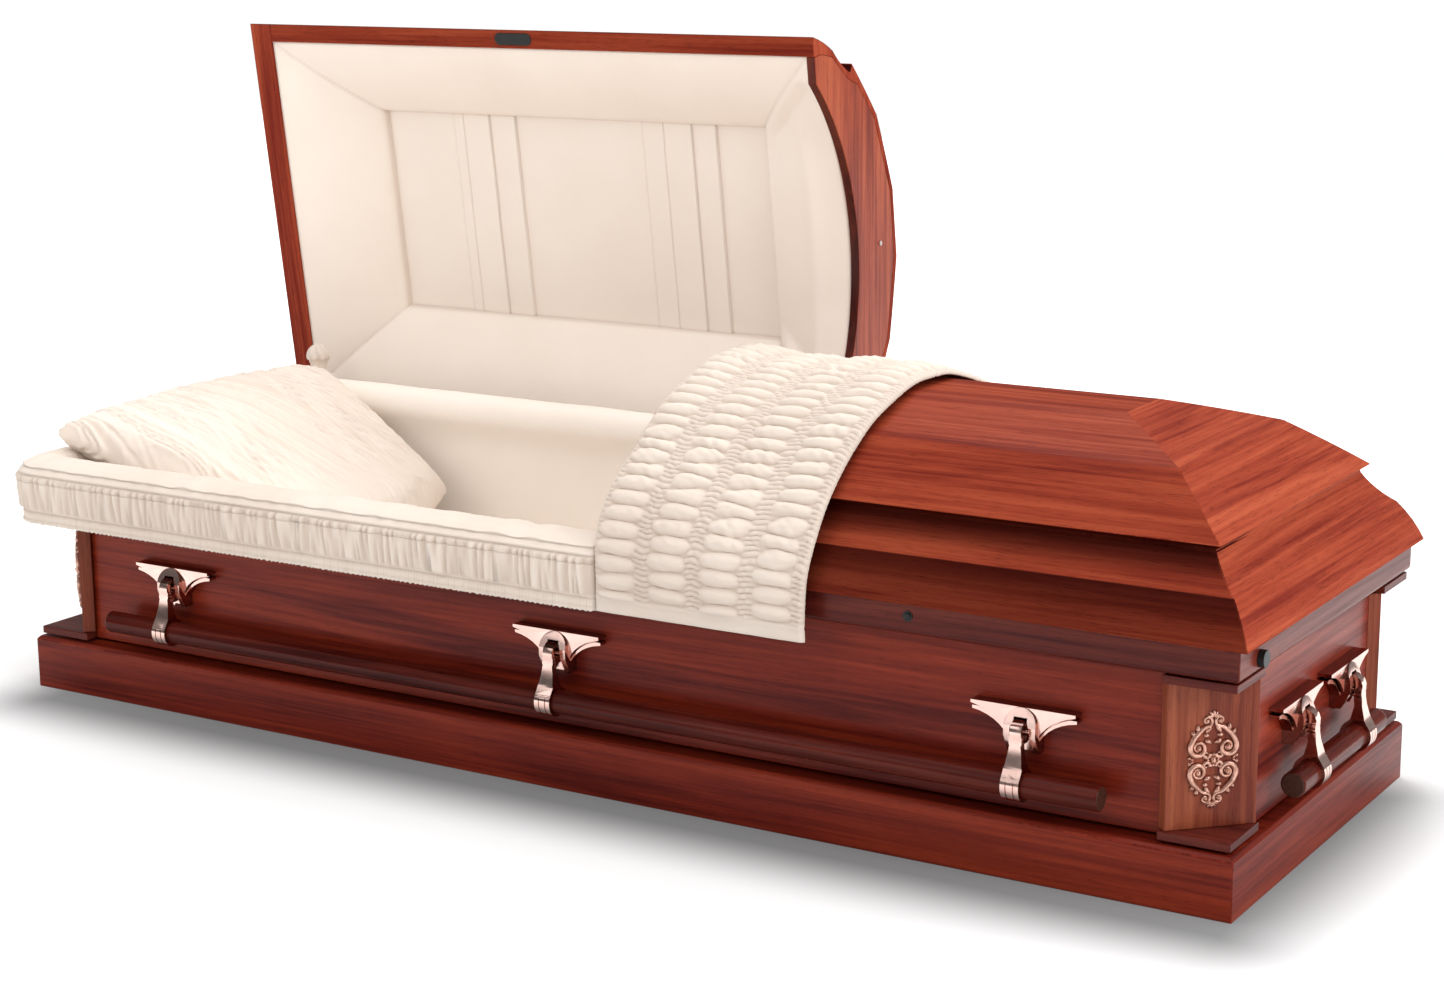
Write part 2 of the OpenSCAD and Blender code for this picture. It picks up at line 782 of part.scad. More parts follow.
module quilt() {
    // inner face from the front hem up and over to the back slope, as [y, height over the lip]
    // it ends part of the way down the back slope, this far in from the lid's side
    back_in = 111;
    back_y = lid_y - back_in;
    slope = (hip[1] - eave_tip[1]) / (hip[0] - eave_tip[0]);
    clear = 3;
    top_y = lid_y - crown[0];
    hip_y = lid_y - hip[0];
    inner = [[-lid_y - 9, -67], [-lid_y - 9, 2], [eave_tip[0] - lid_y - 5, eave_tip[1] + 2],
             [-hip_y - 2, hip[1] + clear], [-top_y, crown[1] + clear], [top_y, crown[1] + clear],
             [hip_y + 2, hip[1] + clear], [back_y, hip[1] - slope * (back_y - hip_y) + clear + 2]];
    outer = moved(inner, -quilt_th);
    color(IVORY) translate([quilt_x, 0, lid_z]) rotate([90, 0, 90])
        linear_extrude(height = quilt_wid) polygon(concat(inner, reversed(outer)));
}

// ---------- one line for each node ----------

plinth();
base_board();
rail();
for (w = WALLS) wall(w);
for (s = SIDES, e = ENDS) {
    at_corner(s, e) corner_board();
    at_corner(s, e) corner_block();
    at_corner(s, e) ornament();
}
for (w = WALLS, i = places(w)) {
    on_wall(w, plate_at(w, i)) plate();
    on_wall(w, plate_at(w, i)) arm();
}
for (w = WALLS) bar(w);
head_lid();
head_lid_end_board();
head_lid_lining();
lock_plate();
head_hinge_leaf();
foot_lid();
foot_lid_end_board();
foot_lid_lining();
foot_hinge_leaf();
quilt();
body_hinge_leaf();
foot_end_plug();
front_plug();
mattress();
pillow();
body_lining();
extendover();
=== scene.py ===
# %% [markdown]
# # A half-open wooden casket
#
# This lesson dresses a finished CAD model of a casket: eased and varnished wood, polished
# handles, cast corner ornaments and all of the sewn cloth. The CAD model gives every place and
# size, so the first step loads it.

# %% Load the imported model
import json
import math

import bmesh
import bpy
import numpy as np
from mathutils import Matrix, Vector

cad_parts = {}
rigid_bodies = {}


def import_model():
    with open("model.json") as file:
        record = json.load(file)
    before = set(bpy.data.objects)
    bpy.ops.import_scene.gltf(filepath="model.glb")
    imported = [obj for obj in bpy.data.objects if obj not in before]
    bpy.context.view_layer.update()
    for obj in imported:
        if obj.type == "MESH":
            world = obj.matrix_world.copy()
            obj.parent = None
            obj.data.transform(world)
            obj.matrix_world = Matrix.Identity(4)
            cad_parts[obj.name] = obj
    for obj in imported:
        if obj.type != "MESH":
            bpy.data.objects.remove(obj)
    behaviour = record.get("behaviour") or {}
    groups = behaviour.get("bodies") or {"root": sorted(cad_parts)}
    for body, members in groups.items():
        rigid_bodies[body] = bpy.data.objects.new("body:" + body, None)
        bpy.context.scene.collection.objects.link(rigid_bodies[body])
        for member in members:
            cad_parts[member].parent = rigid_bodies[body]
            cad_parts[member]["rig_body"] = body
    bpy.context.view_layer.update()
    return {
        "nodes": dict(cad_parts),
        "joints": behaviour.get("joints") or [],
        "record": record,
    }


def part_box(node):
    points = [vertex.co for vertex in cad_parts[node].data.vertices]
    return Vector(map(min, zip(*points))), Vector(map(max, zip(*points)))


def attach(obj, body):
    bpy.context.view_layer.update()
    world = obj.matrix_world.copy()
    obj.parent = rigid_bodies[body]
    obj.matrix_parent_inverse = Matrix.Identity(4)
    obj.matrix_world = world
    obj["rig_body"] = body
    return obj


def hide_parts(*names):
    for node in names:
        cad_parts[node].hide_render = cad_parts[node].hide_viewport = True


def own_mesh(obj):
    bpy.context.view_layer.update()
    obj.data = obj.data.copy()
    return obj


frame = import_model()
scene = bpy.context.scene
record = frame["record"]
joints = {j["name"]: j for j in frame["joints"]}
hinge_at = np.array(joints["head_lid_hinge"]["pos_m"])
open_angle = math.radians(joints["head_lid_hinge"]["range_deg"][1])

# %% [markdown]
# ## The camera
#
# A product picture of a long object is taken from far away with a long lens, so that the two
# ends keep nearly the same size. The camera is placed with three angles.

# %% Camera
CAMERA_AT = Vector((2.155, -3.3374, 1.2577))
TURN, TILT, ROLL = (math.radians(a) for a in (31.842, 12.618, -0.491))
camera = bpy.data.objects.new("camera", bpy.data.cameras.new("camera"))
camera.data.lens, camera.data.sensor_width = 67.35, 36
camera.location = CAMERA_AT
camera.rotation_euler = (math.pi / 2 - TILT, 0, TURN)
camera.rotation_euler.rotate_axis("Z", ROLL)
camera.data.clip_end = 60
scene.collection.objects.link(camera)
scene.camera = camera
print("camera at", [round(v, 2) for v in camera.location])

# %% [markdown]
# ## Small tools for nodes
#
# A finish is a Principled shader whose colour, roughness and bump come from a few noise nodes.
# Writing each node by hand takes four lines, so short helpers do it: one starts a finish and
# sets the values that are the same all over, one adds a node and wires its inputs, and the rest
# name the nodes that come back most often. The room and the sewing trees use them too.

# %% Node helpers
def finish_called(name, **constants):
    material = bpy.data.materials.new(name)
    material.use_nodes = True
    shader = material.node_tree.nodes["Principled BSDF"]
    for key, value in constants.items():
        shader.inputs[key.replace("_", " ")].default_value = value
    return material, material.node_tree, shader


def add(tree, kind, props=None, out=0, **inputs):
    """add a node. An input is named, or numbered as _0, _1 and so on."""
    made = tree.nodes.new(kind)
    for key, value in (props or {}).items():
        setattr(made, key, value)
    for key, value in inputs.items():
        socket = made.inputs[int(key[1:])] if key[1:].isdigit() else made.inputs[key]
        if isinstance(value, bpy.types.NodeSocket):
            tree.links.new(value, socket)
        else:
            socket.default_value = value
    return made.outputs[out]


def maths(tree, operation, *values):
    return add(tree, "ShaderNodeMath", {"operation": operation},
               **{f"_{k}": value for k, value in enumerate(values)})


def vector_maths(tree, operation, *values, out=0):
    return add(tree, "ShaderNodeVectorMath", {"operation": operation}, out,
               **{f"_{k}": value for k, value in enumerate(values)})


def length_of(tree, vector):
    return vector_maths(tree, "LENGTH", vector, out="Value")


def blended(tree, share, usual, other, how="MIX"):
    """one colour over another; how MULTIPLY makes the second one darken or tint the first, for real
    pores and for painted shade and light.
    """
    return add(tree, "ShaderNodeMix", {"data_type": "RGBA", "blend_type": how}, 2,
               _0=share, _6=usual, _7=other)


def between(tree, value, low, high, at_low, at_high, ease="SMOOTHSTEP"):
    """a level that goes from at_low to at_high while value goes from low to high."""
    return add(tree, "ShaderNodeMapRange", {"interpolation_type": ease}, Value=value,
               _1=low, _2=high, _3=at_low, _4=at_high)


def split(tree, vector):
    parts = tree.nodes.new("ShaderNodeSeparateXYZ")
    tree.links.new(vector, parts.inputs[0])
    return parts.outputs


def joined(tree, x, y, z):
    return add(tree, "ShaderNodeCombineXYZ", X=x, Y=y, Z=z)


def ramp(tree, factor, *stops):
    made = tree.nodes.new("ShaderNodeValToRGB")
    tree.links.new(factor, made.inputs[0])
    while len(made.color_ramp.elements) < len(stops):
        made.color_ramp.elements.new(1)
    for element, (at, colour) in zip(made.color_ramp.elements, stops):
        element.position = at
        element.color = (*colour, 1)
    return made.outputs[0]


def grey(level):
    return (level, level, level)


def noise(tree, where, scale, detail=4, rough=0.55, distortion=0.0):
    return add(tree, "ShaderNodeTexNoise", Vector=where, Scale=scale, Detail=detail,
               Roughness=rough, Distortion=distortion)


def stretched(tree, where, scale):
    return add(tree, "ShaderNodeMapping", Vector=where, Scale=scale)


def bump(tree, shader, height, strength, distance):
    normal = add(tree, "ShaderNodeBump", Height=height, Strength=strength, Distance=distance)
    tree.links.new(normal, shader.inputs["Normal"])


def object_point(tree):
    return tree.nodes.new("ShaderNodeTexCoord").outputs["Object"]


print("node helpers are ready")

# %% [markdown]
# ## The room and the floor
#
# A white room lights the casket from all sides. It is brightest overhead, behind the casket and
# at its foot end, so each face of the case gets a level of its own. Varnish and polished metal
# see a dimmer room than cloth does, which keeps their colours deep. Four soft lamps add the
# highlights and the shadow, and the pale floor fades to white further out. The dark under the
# casket is painted on the floor, because so bright a room leaves almost no shadow.

# %% Lamps
def soft_lamp(name, place, aim, size, watts):
    lamp = bpy.data.objects.new(name, bpy.data.lights.new(name, "AREA"))
    lamp.data.shape, lamp.data.size, lamp.data.energy = "SQUARE", size, watts
    lamp.location = place
    lamp.rotation_euler = (Vector(aim) - Vector(place)).to_track_quat("-Z", "Y").to_euler()
    scene.collection.objects.link(lamp)


soft_lamp("top_lamp", (0.3, -0.9, 3.6), (0, 0, 0.3), 3.0, 30)
soft_lamp("back_lamp", (-0.5, 1.7, 2.9), (0, 0, 0.2), 1.2, 26)
soft_lamp("front_lamp", (-1.5, -3.6, 2.2), (-0.2, 0, 0.4), 2.0, 14)
soft_lamp("foot_lamp", (4.2, -0.6, 2.0), (0.9, 0, 0.3), 1.6, 46)

# %% White room
SEEN_WHITE, MIRRORED_SHARE = 1.02, 0.27
scene.view_settings.view_transform = "Standard"
world = bpy.data.worlds.new("white_room")
world.use_nodes = True
tree = world.node_tree
room = tree.nodes["Background"]
room.inputs["Color"].default_value = (1, 1, 1, 1)
to_foot, to_back, upwards = split(tree, tree.nodes.new("ShaderNodeTexCoord").outputs["Generated"])
overhead = between(tree, upwards, 0.0, 0.8, 0.0, 0.75)
behind = between(tree, to_back, -0.7, 0.4, 0.25, 0.75)
foot_side = between(tree, to_foot, 0.2, 0.9, 0.0, 0.25)
brightness = maths(tree, "ADD", maths(tree, "ADD", overhead, behind), foot_side)
ray = tree.nodes.new("ShaderNodeLightPath").outputs
mirrored = add(tree, "ShaderNodeMix", _0=ray["Is Glossy Ray"], _2=brightness,
               _3=maths(tree, "MULTIPLY", brightness, MIRRORED_SHARE))
seen = add(tree, "ShaderNodeMix", _0=ray["Is Camera Ray"], _2=mirrored, _3=SEEN_WHITE)
tree.links.new(seen, room.inputs["Strength"])
scene.world = world
print("the room is lit")

# %% Floor
FLOOR_HALF = 9
floor_mesh = bpy.data.meshes.new("floor")
floor_mesh.from_pydata(
    [(x * FLOOR_HALF, y * FLOOR_HALF, 0) for x, y in ((-1, -1), (1, -1), (1, 1), (-1, 1))],
    [], [(0, 1, 2, 3)])
floor = bpy.data.objects.new("floor", floor_mesh)
scene.collection.objects.link(floor)

PATCH_AT, PATCH_HALF = (0.035, -0.075, 0), (0.990, 0.300, FLOOR_HALF)
pale_floor, tree, shader = finish_called(
    "pale_floor", Roughness=0.9, Emission_Color=(1, 1, 1, 1), Specular_IOR_Level=0.0)
place = object_point(tree)
pale = ramp(tree, noise(tree, place, 3.0), (0, (0.72, 0.715, 0.715)), (1, (0.74, 0.735, 0.735)))
from_patch = vector_maths(tree, "ABSOLUTE", vector_maths(tree, "SUBTRACT", place, PATCH_AT))
from_patch = vector_maths(tree, "SUBTRACT", from_patch, PATCH_HALF)
from_patch = vector_maths(tree, "MAXIMUM", from_patch, (0, 0, 0))
patch = between(tree, length_of(tree, from_patch), -0.03, 0.17, 0.12, 1.0)
tree.links.new(blended(tree, 1, pale, patch, "MULTIPLY"), shader.inputs["Base Color"])
tree.links.new(between(tree, length_of(tree, place), 0.6, 3.0, 0.10, 0.75),
               shader.inputs["Emission Strength"])
floor_mesh.materials.append(pale_floor)
print("the floor is", 2 * FLOOR_HALF, "m wide")

# %% [markdown]
# ## Mahogany
#
# The wood is mahogany with a satin varnish. Its figure has three layers: broad ribbons, finer
# streaks, and short dark pores. All three are noise that is stretched along the board. A frame
# with mitred corners has boards in two directions, so the grain turns with the way a face
# looks: a face that looks towards an end belongs to a board that runs across. The head lid
# stands open, so its figure is laid as if the lid were closed.

# %% Grain along the boards
def grain(tree, run, place, looks, cross_rim):
    """the place with X along the board, and the faces that belong to the end boards."""
    x, y, z = split(tree, place)
    if run == "along":
        return place, None
    if run == "upright":
        return joined(tree, z, x, y), None
    crosswise = joined(tree, y, x, z)
    if run == "across":
        return crosswise, None
    to_end, _, up = split(tree, looks)
    end_faces = maths(tree, "GREATER_THAN", maths(tree, "ABSOLUTE", to_end), 0.12)
    end_rim = maths(tree, "MULTIPLY", maths(tree, "LESS_THAN", up, -0.5),
                    maths(tree, "LESS_THAN", x, cross_rim))
    end_boards = maths(tree, "MAXIMUM", end_faces, end_rim)
    where = add(tree, "ShaderNodeMix", {"data_type": "VECTOR"}, 1,
                _0=end_boards, _4=place, _5=crosswise)
    return where, end_boards


def as_closed(tree, place, looks):
    """turn the open head lid's points and directions back to the closed lid's."""
    about_x = {"rotation_type": "X_AXIS"}
    return (add(tree, "ShaderNodeVectorRotate", about_x, Vector=place,
                Center=(0, hinge_at[1], hinge_at[2]), Angle=open_angle),
            add(tree, "ShaderNodeVectorRotate", about_x, Vector=looks, Angle=open_angle))


print("the head lid is turned back by", round(math.degrees(open_angle), 1), "degrees")

# %% [markdown]
# ## Painted shade and light, end grain and rims
#
# The two front facets below the lid's eave get painted shade, for the eave's shadow and the
# dark reflections on them, and each facet deepens upwards to a crisp edge. The boards that look
# towards the foot end get painted light, so they are paler. A cut end soaks up stain and turns
# nearly black, and the rim round the boards that close the lids at the division is dark. All of
# these multiply the plain wood's colour.

# %% Painted shade and light, and end grain
FACET_PAINTED_SHADE, END_FACE_PAINTED_LIGHT = (0.10, 0.035, 0.045, 1), (1.25, 1.40, 1.50, 1)
RIM_DARKENING = (0.30, 0.24, 0.24, 1)
FACET_SHADE_LEVELS = [(0.0, 0.52), (0.20, 0.62), (0.40, 0.88), (0.505, 0.93), (0.515, 0.06),
                (0.62, 0.20), (0.72, 0.66), (0.85, 0.93), (0.985, 0.96), (0.99, 0.0)]


# painted shade on the lids' front facets below the eave: its shadow and dark reflections
def facets_painted_shade(tree, colour, looks, z, sill, eave):
    front = maths(tree, "LESS_THAN", split(tree, looks)[1], -0.15)
    height = between(tree, z, sill, eave, 0.0, 1.0, "LINEAR")
    depth = ramp(tree, height, *[(at, grey(value)) for at, value in FACET_SHADE_LEVELS])
    return blended(tree, maths(tree, "MULTIPLY", front, depth), colour, FACET_PAINTED_SHADE, "MULTIPLY")


# the edge faces of the boards at the division are made darker
def rim_darkened(tree, colour, looks):
    rim = maths(tree, "LESS_THAN", maths(tree, "ABSOLUTE", split(tree, looks)[0]), 0.7)
    return blended(tree, rim, colour, RIM_DARKENING, "MULTIPLY")


def end_grain(tree, colour, place, looks, axis):
    speck = noise(tree, stretched(tree, place, (500, 500, 500)), 1.0, 2)
    dark = ramp(tree, speck, (0.35, (0.035, 0.014, 0.010)), (0.65, (0.075, 0.030, 0.020)))
    ends = maths(tree, "GREATER_THAN", maths(tree, "ABSOLUTE", split(tree, looks)[axis]), 0.8)
    return blended(tree, ends, colour, dark)


# %% Wood finish
STREAK_SHARE, PORE_SHARE = 0.75, 0.7


def wood(name, pale, mid, deep, run="frame", gloss=0.3, shine=0.12, cove=None,
         dark_rim=False, opened=False, cross_rim=-2.0):
    material, tree, shader = finish_called(
        name, Roughness=gloss, Coat_Weight=shine, Coat_Roughness=0.16, Coat_IOR=1.35,
        Specular_IOR_Level=shine)
    coords = tree.nodes.new("ShaderNodeTexCoord").outputs
    place, looks = coords["Object"], coords["Normal"]
    if opened:
        place, looks = as_closed(tree, place, looks)
    where, end_boards = grain(tree, run, place, looks, cross_rim)
    ribbons = noise(tree, stretched(tree, where, (1.0, 15, 15)), 1.0, 3, 0.6, 0.7)
    streaks = noise(tree, stretched(tree, where, (2.6, 120, 120)), 1.0, 4, 0.65, 0.5)
    pores = noise(tree, stretched(tree, where, (40, 900, 900)), 1.0, 2, 0.5)
    figure = maths(tree, "MULTIPLY_ADD", streaks, STREAK_SHARE, ribbons)
    level = maths(tree, "MULTIPLY", figure, 1 / (1 + STREAK_SHARE))
    base = ramp(tree, level, (0.385, deep), (0.50, mid), (0.62, pale))
    colour = blended(tree, PORE_SHARE, base,
                     ramp(tree, pores, (0.28, grey(0.35)), (0.42, grey(1))), "MULTIPLY")
    if cove:
        colour = facets_painted_shade(tree, colour, looks, split(tree, place)[2], *cove)
        # painted light: the faces that look towards the lid's ends are made paler
        colour = blended(tree, end_boards, colour, END_FACE_PAINTED_LIGHT, "MULTIPLY")
    if dark_rim:
        colour = rim_darkened(tree, colour, looks)
    elif run in ("along", "across"):
        colour = end_grain(tree, colour, place, looks, int(run == "across"))
    tree.links.new(colour, shader.inputs["Base Color"])
    tree.links.new(ramp(tree, streaks, (0.3, grey(gloss + 0.12)), (0.7, grey(gloss - 0.04))),
                   shader.inputs["Roughness"])
    bump(tree, shader, pores, 0.12, 0.0004)
    return material


case_wood = wood("case_mahogany", (0.265, 0.032, 0.0115), (0.170, 0.0168, 0.0072),
                 (0.082, 0.0055, 0.0033))
LID_COVE, HEAD_RIM_X = (0.352, 0.4665), -0.993
lid_wood = {lid: wood(f"{lid}_mahogany", (0.315, 0.056, 0.024), (0.235, 0.034, 0.015),
                      (0.135, 0.014, 0.008), gloss=0.42, shine=0.015, cove=LID_COVE,
                      opened=lid == "head_lid", cross_rim=HEAD_RIM_X)
            for lid in ("foot_lid", "head_lid")}
upright_wood = wood("upright_mahogany", (0.30, 0.080, 0.036), (0.22, 0.048, 0.022),
                    (0.13, 0.022, 0.012), "upright")
dark_wood = wood("dark_mahogany", (0.15, 0.026, 0.015), (0.10, 0.014, 0.009),
                 (0.05, 0.006, 0.005))
bar_wood = {run: wood(f"bar_mahogany_{run}", (0.13, 0.020, 0.010), (0.080, 0.009, 0.005),
                      (0.035, 0.003, 0.002), run, gloss=0.22) for run in ("along", "across")}
board_wood = {node: wood(f"{node}_mahogany", (0.42, 0.092, 0.038), (0.30, 0.052, 0.022),
                         (0.14, 0.017, 0.009), run, dark_rim=True)
              for node, run in (("head_lid_end_board", "upright"),
                                ("foot_lid_end_board", "across"))}
print("wood finishes:", [m.name for m in bpy.data.materials if "mahogany" in m.name])

# %% [markdown]
# ## Metal and black fittings
#
# The handles are cast metal plated in rose gold and polished, so their roughness is low and
# varies a little, as plating does. The faces of a handle that turn sideways get a painted
# reflection of the dark case, so those are deeper, and each handle knows its own outward axis.
# The ornaments have a rougher, brushed copper tone. The hinge is satin steel, and the plugs are
# black.

# %% Metal finishes
SIDE_PAINTED_REFLECTION = (0.42, 0.24, 0.20, 1)


def metal(name, pale, deep, rough, speckle, brushed=0.0, outward=None):
    material, tree, shader = finish_called(name, Metallic=1.0, Roughness=rough)
    where = object_point(tree)
    cloud = noise(tree, where, speckle, 3)
    colour = ramp(tree, cloud, (0.35, deep), (0.62, pale))
    if outward:
        # painted reflection: faces that turn away from the outward axis are darkened
        looks = tree.nodes.new("ShaderNodeTexCoord").outputs["Normal"]
        size = maths(tree, "ABSOLUTE", split(tree, looks)["XYZ".index(outward)])
        side = between(tree, size, 0.30, 0.80, 1.0, 0.0, "LINEAR")
        colour = blended(tree, side, colour, SIDE_PAINTED_REFLECTION, "MULTIPLY")
    tree.links.new(colour, shader.inputs["Base Color"])
    tree.links.new(ramp(tree, cloud, (0.3, grey(rough + 0.1)), (0.7, grey(rough))),
                   shader.inputs["Roughness"])
    bump(tree, shader, noise(tree, where, speckle * 9, 2), 0.05 + brushed, 0.0003)
    return material


rose_gold = {axis: metal(f"rose_gold_plating_{axis}", (0.86, 0.60, 0.53), (0.80, 0.54, 0.47),
                         0.13, 22, outward=axis) for axis in "XY"}
copper = metal("copper_plating", (0.72, 0.43, 0.34), (0.50, 0.26, 0.19), 0.34, 120, 0.1)
steel = metal("satin_steel", (0.62, 0.58, 0.54), (0.48, 0.44, 0.40), 0.32, 150, 0.1)

black, tree, shader = finish_called("black_enamel", Roughness=0.35, Specular_IOR_Level=0.25)
cloud = noise(tree, object_point(tree), 400)
tree.links.new(ramp(tree, cloud, (0.3, (0.008, 0.008, 0.009)), (0.7, (0.02, 0.019, 0.018))),
               shader.inputs["Base Color"])
bump(tree, shader, cloud, 0.05, 0.0002)
print("metal finishes are ready")

# %% [markdown]
# ## Eased edges
#
# A CAD solid has perfectly sharp edges, and real wood never has. Sanding rounds each edge by
# about a millimetre, and that thin line catches the light. Each wooden, plated or black node is
# copied, its loose triangles are merged back into flat faces, and a Bevel modifier rounds its
# edges. The copy rides on the same body and stands for the node. The lids' upper bends are
# soft, so one bend of the foot lid is shaded round. The thin steel leaves only get their finish.

# %% Eased copies of the CAD nodes
def eased(node, material, width, segments=2, angle=30):
    made = bmesh.new()
    made.from_mesh(frame["nodes"][node].data)
    bmesh.ops.remove_doubles(made, verts=made.verts, dist=1e-6)
    bmesh.ops.dissolve_limit(made, angle_limit=math.radians(0.5), verts=made.verts,
                             edges=made.edges)
    mesh = bpy.data.meshes.new(f"{node}_eased")
    made.to_mesh(mesh)
    made.free()
    mesh.materials.clear()
    mesh.materials.append(material)
    mesh.shade_smooth()
    mesh.set_sharp_from_angle(angle=math.radians(angle))
    piece = bpy.data.objects.new(mesh.name, mesh)
    scene.collection.objects.link(piece)
    bevel = piece.modifiers.new("eased", "BEVEL")
    bevel.width, bevel.segments = width, segments
    bevel.limit_method, bevel.angle_limit = "ANGLE", math.radians(angle)
    bevel.harden_normals = False
    bevel.use_clamp_overlap = True
    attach(piece, frame["nodes"][node]["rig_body"])
    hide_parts(node)
    return piece


def soften(piece, height):
    """shade the edges at one height as a round bend."""
    mesh = piece.data
    for edge in mesh.edges:
        if all(abs(mesh.vertices[v].co.z - height) < 0.003 for v in edge.vertices):
            edge.use_edge_sharp = False


HIP_Z = 0.536
slot_of = {row["node"]: row["material_slot"] for row in record["subparts"]}
print("slots:", sorted(set(slot_of.values())))

# %% Wood and metal pieces
EDGE = {"rose_gold": 0.0011, "black": 0.0006, "bar_wood": 0.0030}
WOOD_EDGE, ARM_EDGE = 0.0014, 0.0022
case_finish = {"mahogany": case_wood, "upright_wood": upright_wood, "dark_wood": dark_wood,
               "rose_gold": rose_gold["Y"], "black": black}


def finish_of(node, slot):
    if slot == "bar_wood":
        return bar_wood["along" if node in ("front_bar", "back_bar") else "across"]
    if slot == "rose_gold" and node.startswith(("head", "foot")):
        return rose_gold["X"]
    return {**board_wood, **lid_wood}.get(node, case_finish[slot])


for node, slot in slot_of.items():
    if slot in case_finish or slot == "bar_wood":
        width = ARM_EDGE if "arm" in node else EDGE.get(slot, WOOD_EDGE)
        piece = eased(node, finish_of(node, slot), width,
                      3 if slot in ("rose_gold", "bar_wood") else 2, 8 if node in lid_wood else 30)
        if node == "foot_lid":
            soften(piece, HIP_Z)
    elif slot == "steel":
        frame["nodes"][node].data.materials[0] = steel

# %% [markdown]
# ## Cloth finishes
#
# Two cloths line this casket. The smooth parts are satin, whose threads are too fine to see, so
# only a faint cross weave and a soft sheen remain. The shirred and quilted parts are crepe,
# which has a dry pebbled surface. All are warm cream with a slight drift in tone. The walls'
# satin and the pillow's crepe are paler copies: painted light that brightens them where they
# sit in shade. Each sewn piece carries an attribute that says how deep a point lies in a fold,
# and painted shade deepens the colour there, where two folds would shade each other.

# %% Satin and crepe
FOLD_PAINTED_SHADE = (0.66, 0.57, 0.51, 1)


def cloth(name, pale, deep, rough, sheen, weave, pebble):
    material, tree, shader = finish_called(
        name, Roughness=rough, Sheen_Weight=sheen, Sheen_Roughness=0.45,
        Sheen_Tint=(1, 0.96, 0.92, 1), Specular_IOR_Level=0.25)
    where = object_point(tree)
    drift = noise(tree, where, 5, 3)
    crease = add(tree, "ShaderNodeAttribute", {"attribute_name": "crease"}, "Fac")
    tone = ramp(tree, drift, (0.35, deep), (0.65, pale))
    # painted shade: the colour deepens where the crease attribute says a point lies in a fold
    tree.links.new(blended(tree, crease, tone, FOLD_PAINTED_SHADE, "MULTIPLY"), shader.inputs["Base Color"])
    threads = add(tree, "ShaderNodeTexNoise", Vector=where, Scale=weave, Detail=2)
    pebbles = add(tree, "ShaderNodeTexVoronoi", Vector=where, Scale=pebble)
    bump(tree, shader, maths(tree, "ADD", threads, pebbles), 0.22, 0.0004)
    return material


satin = cloth("cream_satin", (0.90, 0.80, 0.705), (0.87, 0.765, 0.67), 0.5, 0.2, 1800, 900)
# a paler copy of the satin for the walls and the back roll: painted light for the shaded well
wall_satin_painted_light = cloth("wall_satin_painted_light", (0.96, 0.875, 0.79), (0.94, 0.85, 0.76), 0.5, 0.3, 1800, 900)
throw_crepe = cloth("throw_crepe", (0.715, 0.62, 0.54), (0.675, 0.575, 0.495), 0.75, 0.2,
                    1300, 520)
crepe = cloth("ivory_crepe", (0.76, 0.665, 0.58), (0.72, 0.62, 0.535), 0.75, 0.2, 1300, 520)
# a paler copy of the crepe for the pillow: painted light on its shaded slopes
pillow_cloth_painted_light = cloth("pillow_crepe_painted_light", (0.84, 0.74, 0.655), (0.81, 0.71, 0.62), 0.7, 0.25,
                     1300, 520)
print("cloths are ready")

# %% [markdown]
# ## Tools for sewn cloth
#
# A piece of sewn cloth is laid out as a grid of points, one row for each step along a seam, and
# each point is pushed out by folds that are sums of a few waves. The seed is fixed, so the folds
# are the same every time. A fold has a round back and a sharp valley, which is what gathered
# cloth does where a thread holds it.

# %% Grid, folds and curves
def smooth(t):
    t = np.clip(t, 0, 1)
    return t * t * (3 - 2 * t)


def waves(u, pitch, seed, count=6, spread=0.4):
    rng = np.random.default_rng(seed)
    total = 0
    for _ in range(count):
        long = pitch * rng.uniform(1 - spread, 1 + spread)
        total = total + rng.uniform(0.5, 1) * np.sin(2 * np.pi * u / long + rng.uniform(0, 6.28))
    return total / count ** 0.5


def folds(u, pitch, seed, drift=0.35):
    return np.abs(np.sin(np.pi * (u / pitch + drift * waves(u, pitch * 4, seed)))) ** 0.8


def through(points, count, rounding=3):
    """count points evenly spaced along a line through points, with its corners cut."""
    line = np.array(points, float)
    for _ in range(rounding):
        cut = np.stack([0.75 * line[:-1] + 0.25 * line[1:], 0.25 * line[:-1] + 0.75 * line[1:]], 1)
        line = np.vstack([line[:1], cut.reshape(-1, line.shape[1]), line[-1:]])
    along = np.r_[0, np.cumsum(np.linalg.norm(np.diff(line, axis=0), axis=1))]
    at = np.linspace(0, along[-1], count)
    return np.stack([np.interp(at, along, line[:, k]) for k in range(line.shape[1])], 1), at


def ridge_at(distance, wide):
    """1 where distance is nought, and next to nothing two widths away."""
    return np.exp(-(distance / wide) ** 2)


def grid_normals(points):
    a = np.gradient(points, axis=0)
    b = np.gradient(points, axis=1)
    n = np.cross(a, b)
    return n / np.maximum(np.linalg.norm(n, axis=-1, keepdims=True), 1e-12)


def mark_creases(mesh, crease):
    """store how deep each point lies in a fold, 0 to 1, for the cloth finish's painted fold shade.
    """
    marks = mesh.attributes.new("crease", "FLOAT", "POINT")
    marks.data.foreach_set("value", np.clip(crease, 0, 1).astype(np.float32).ravel())


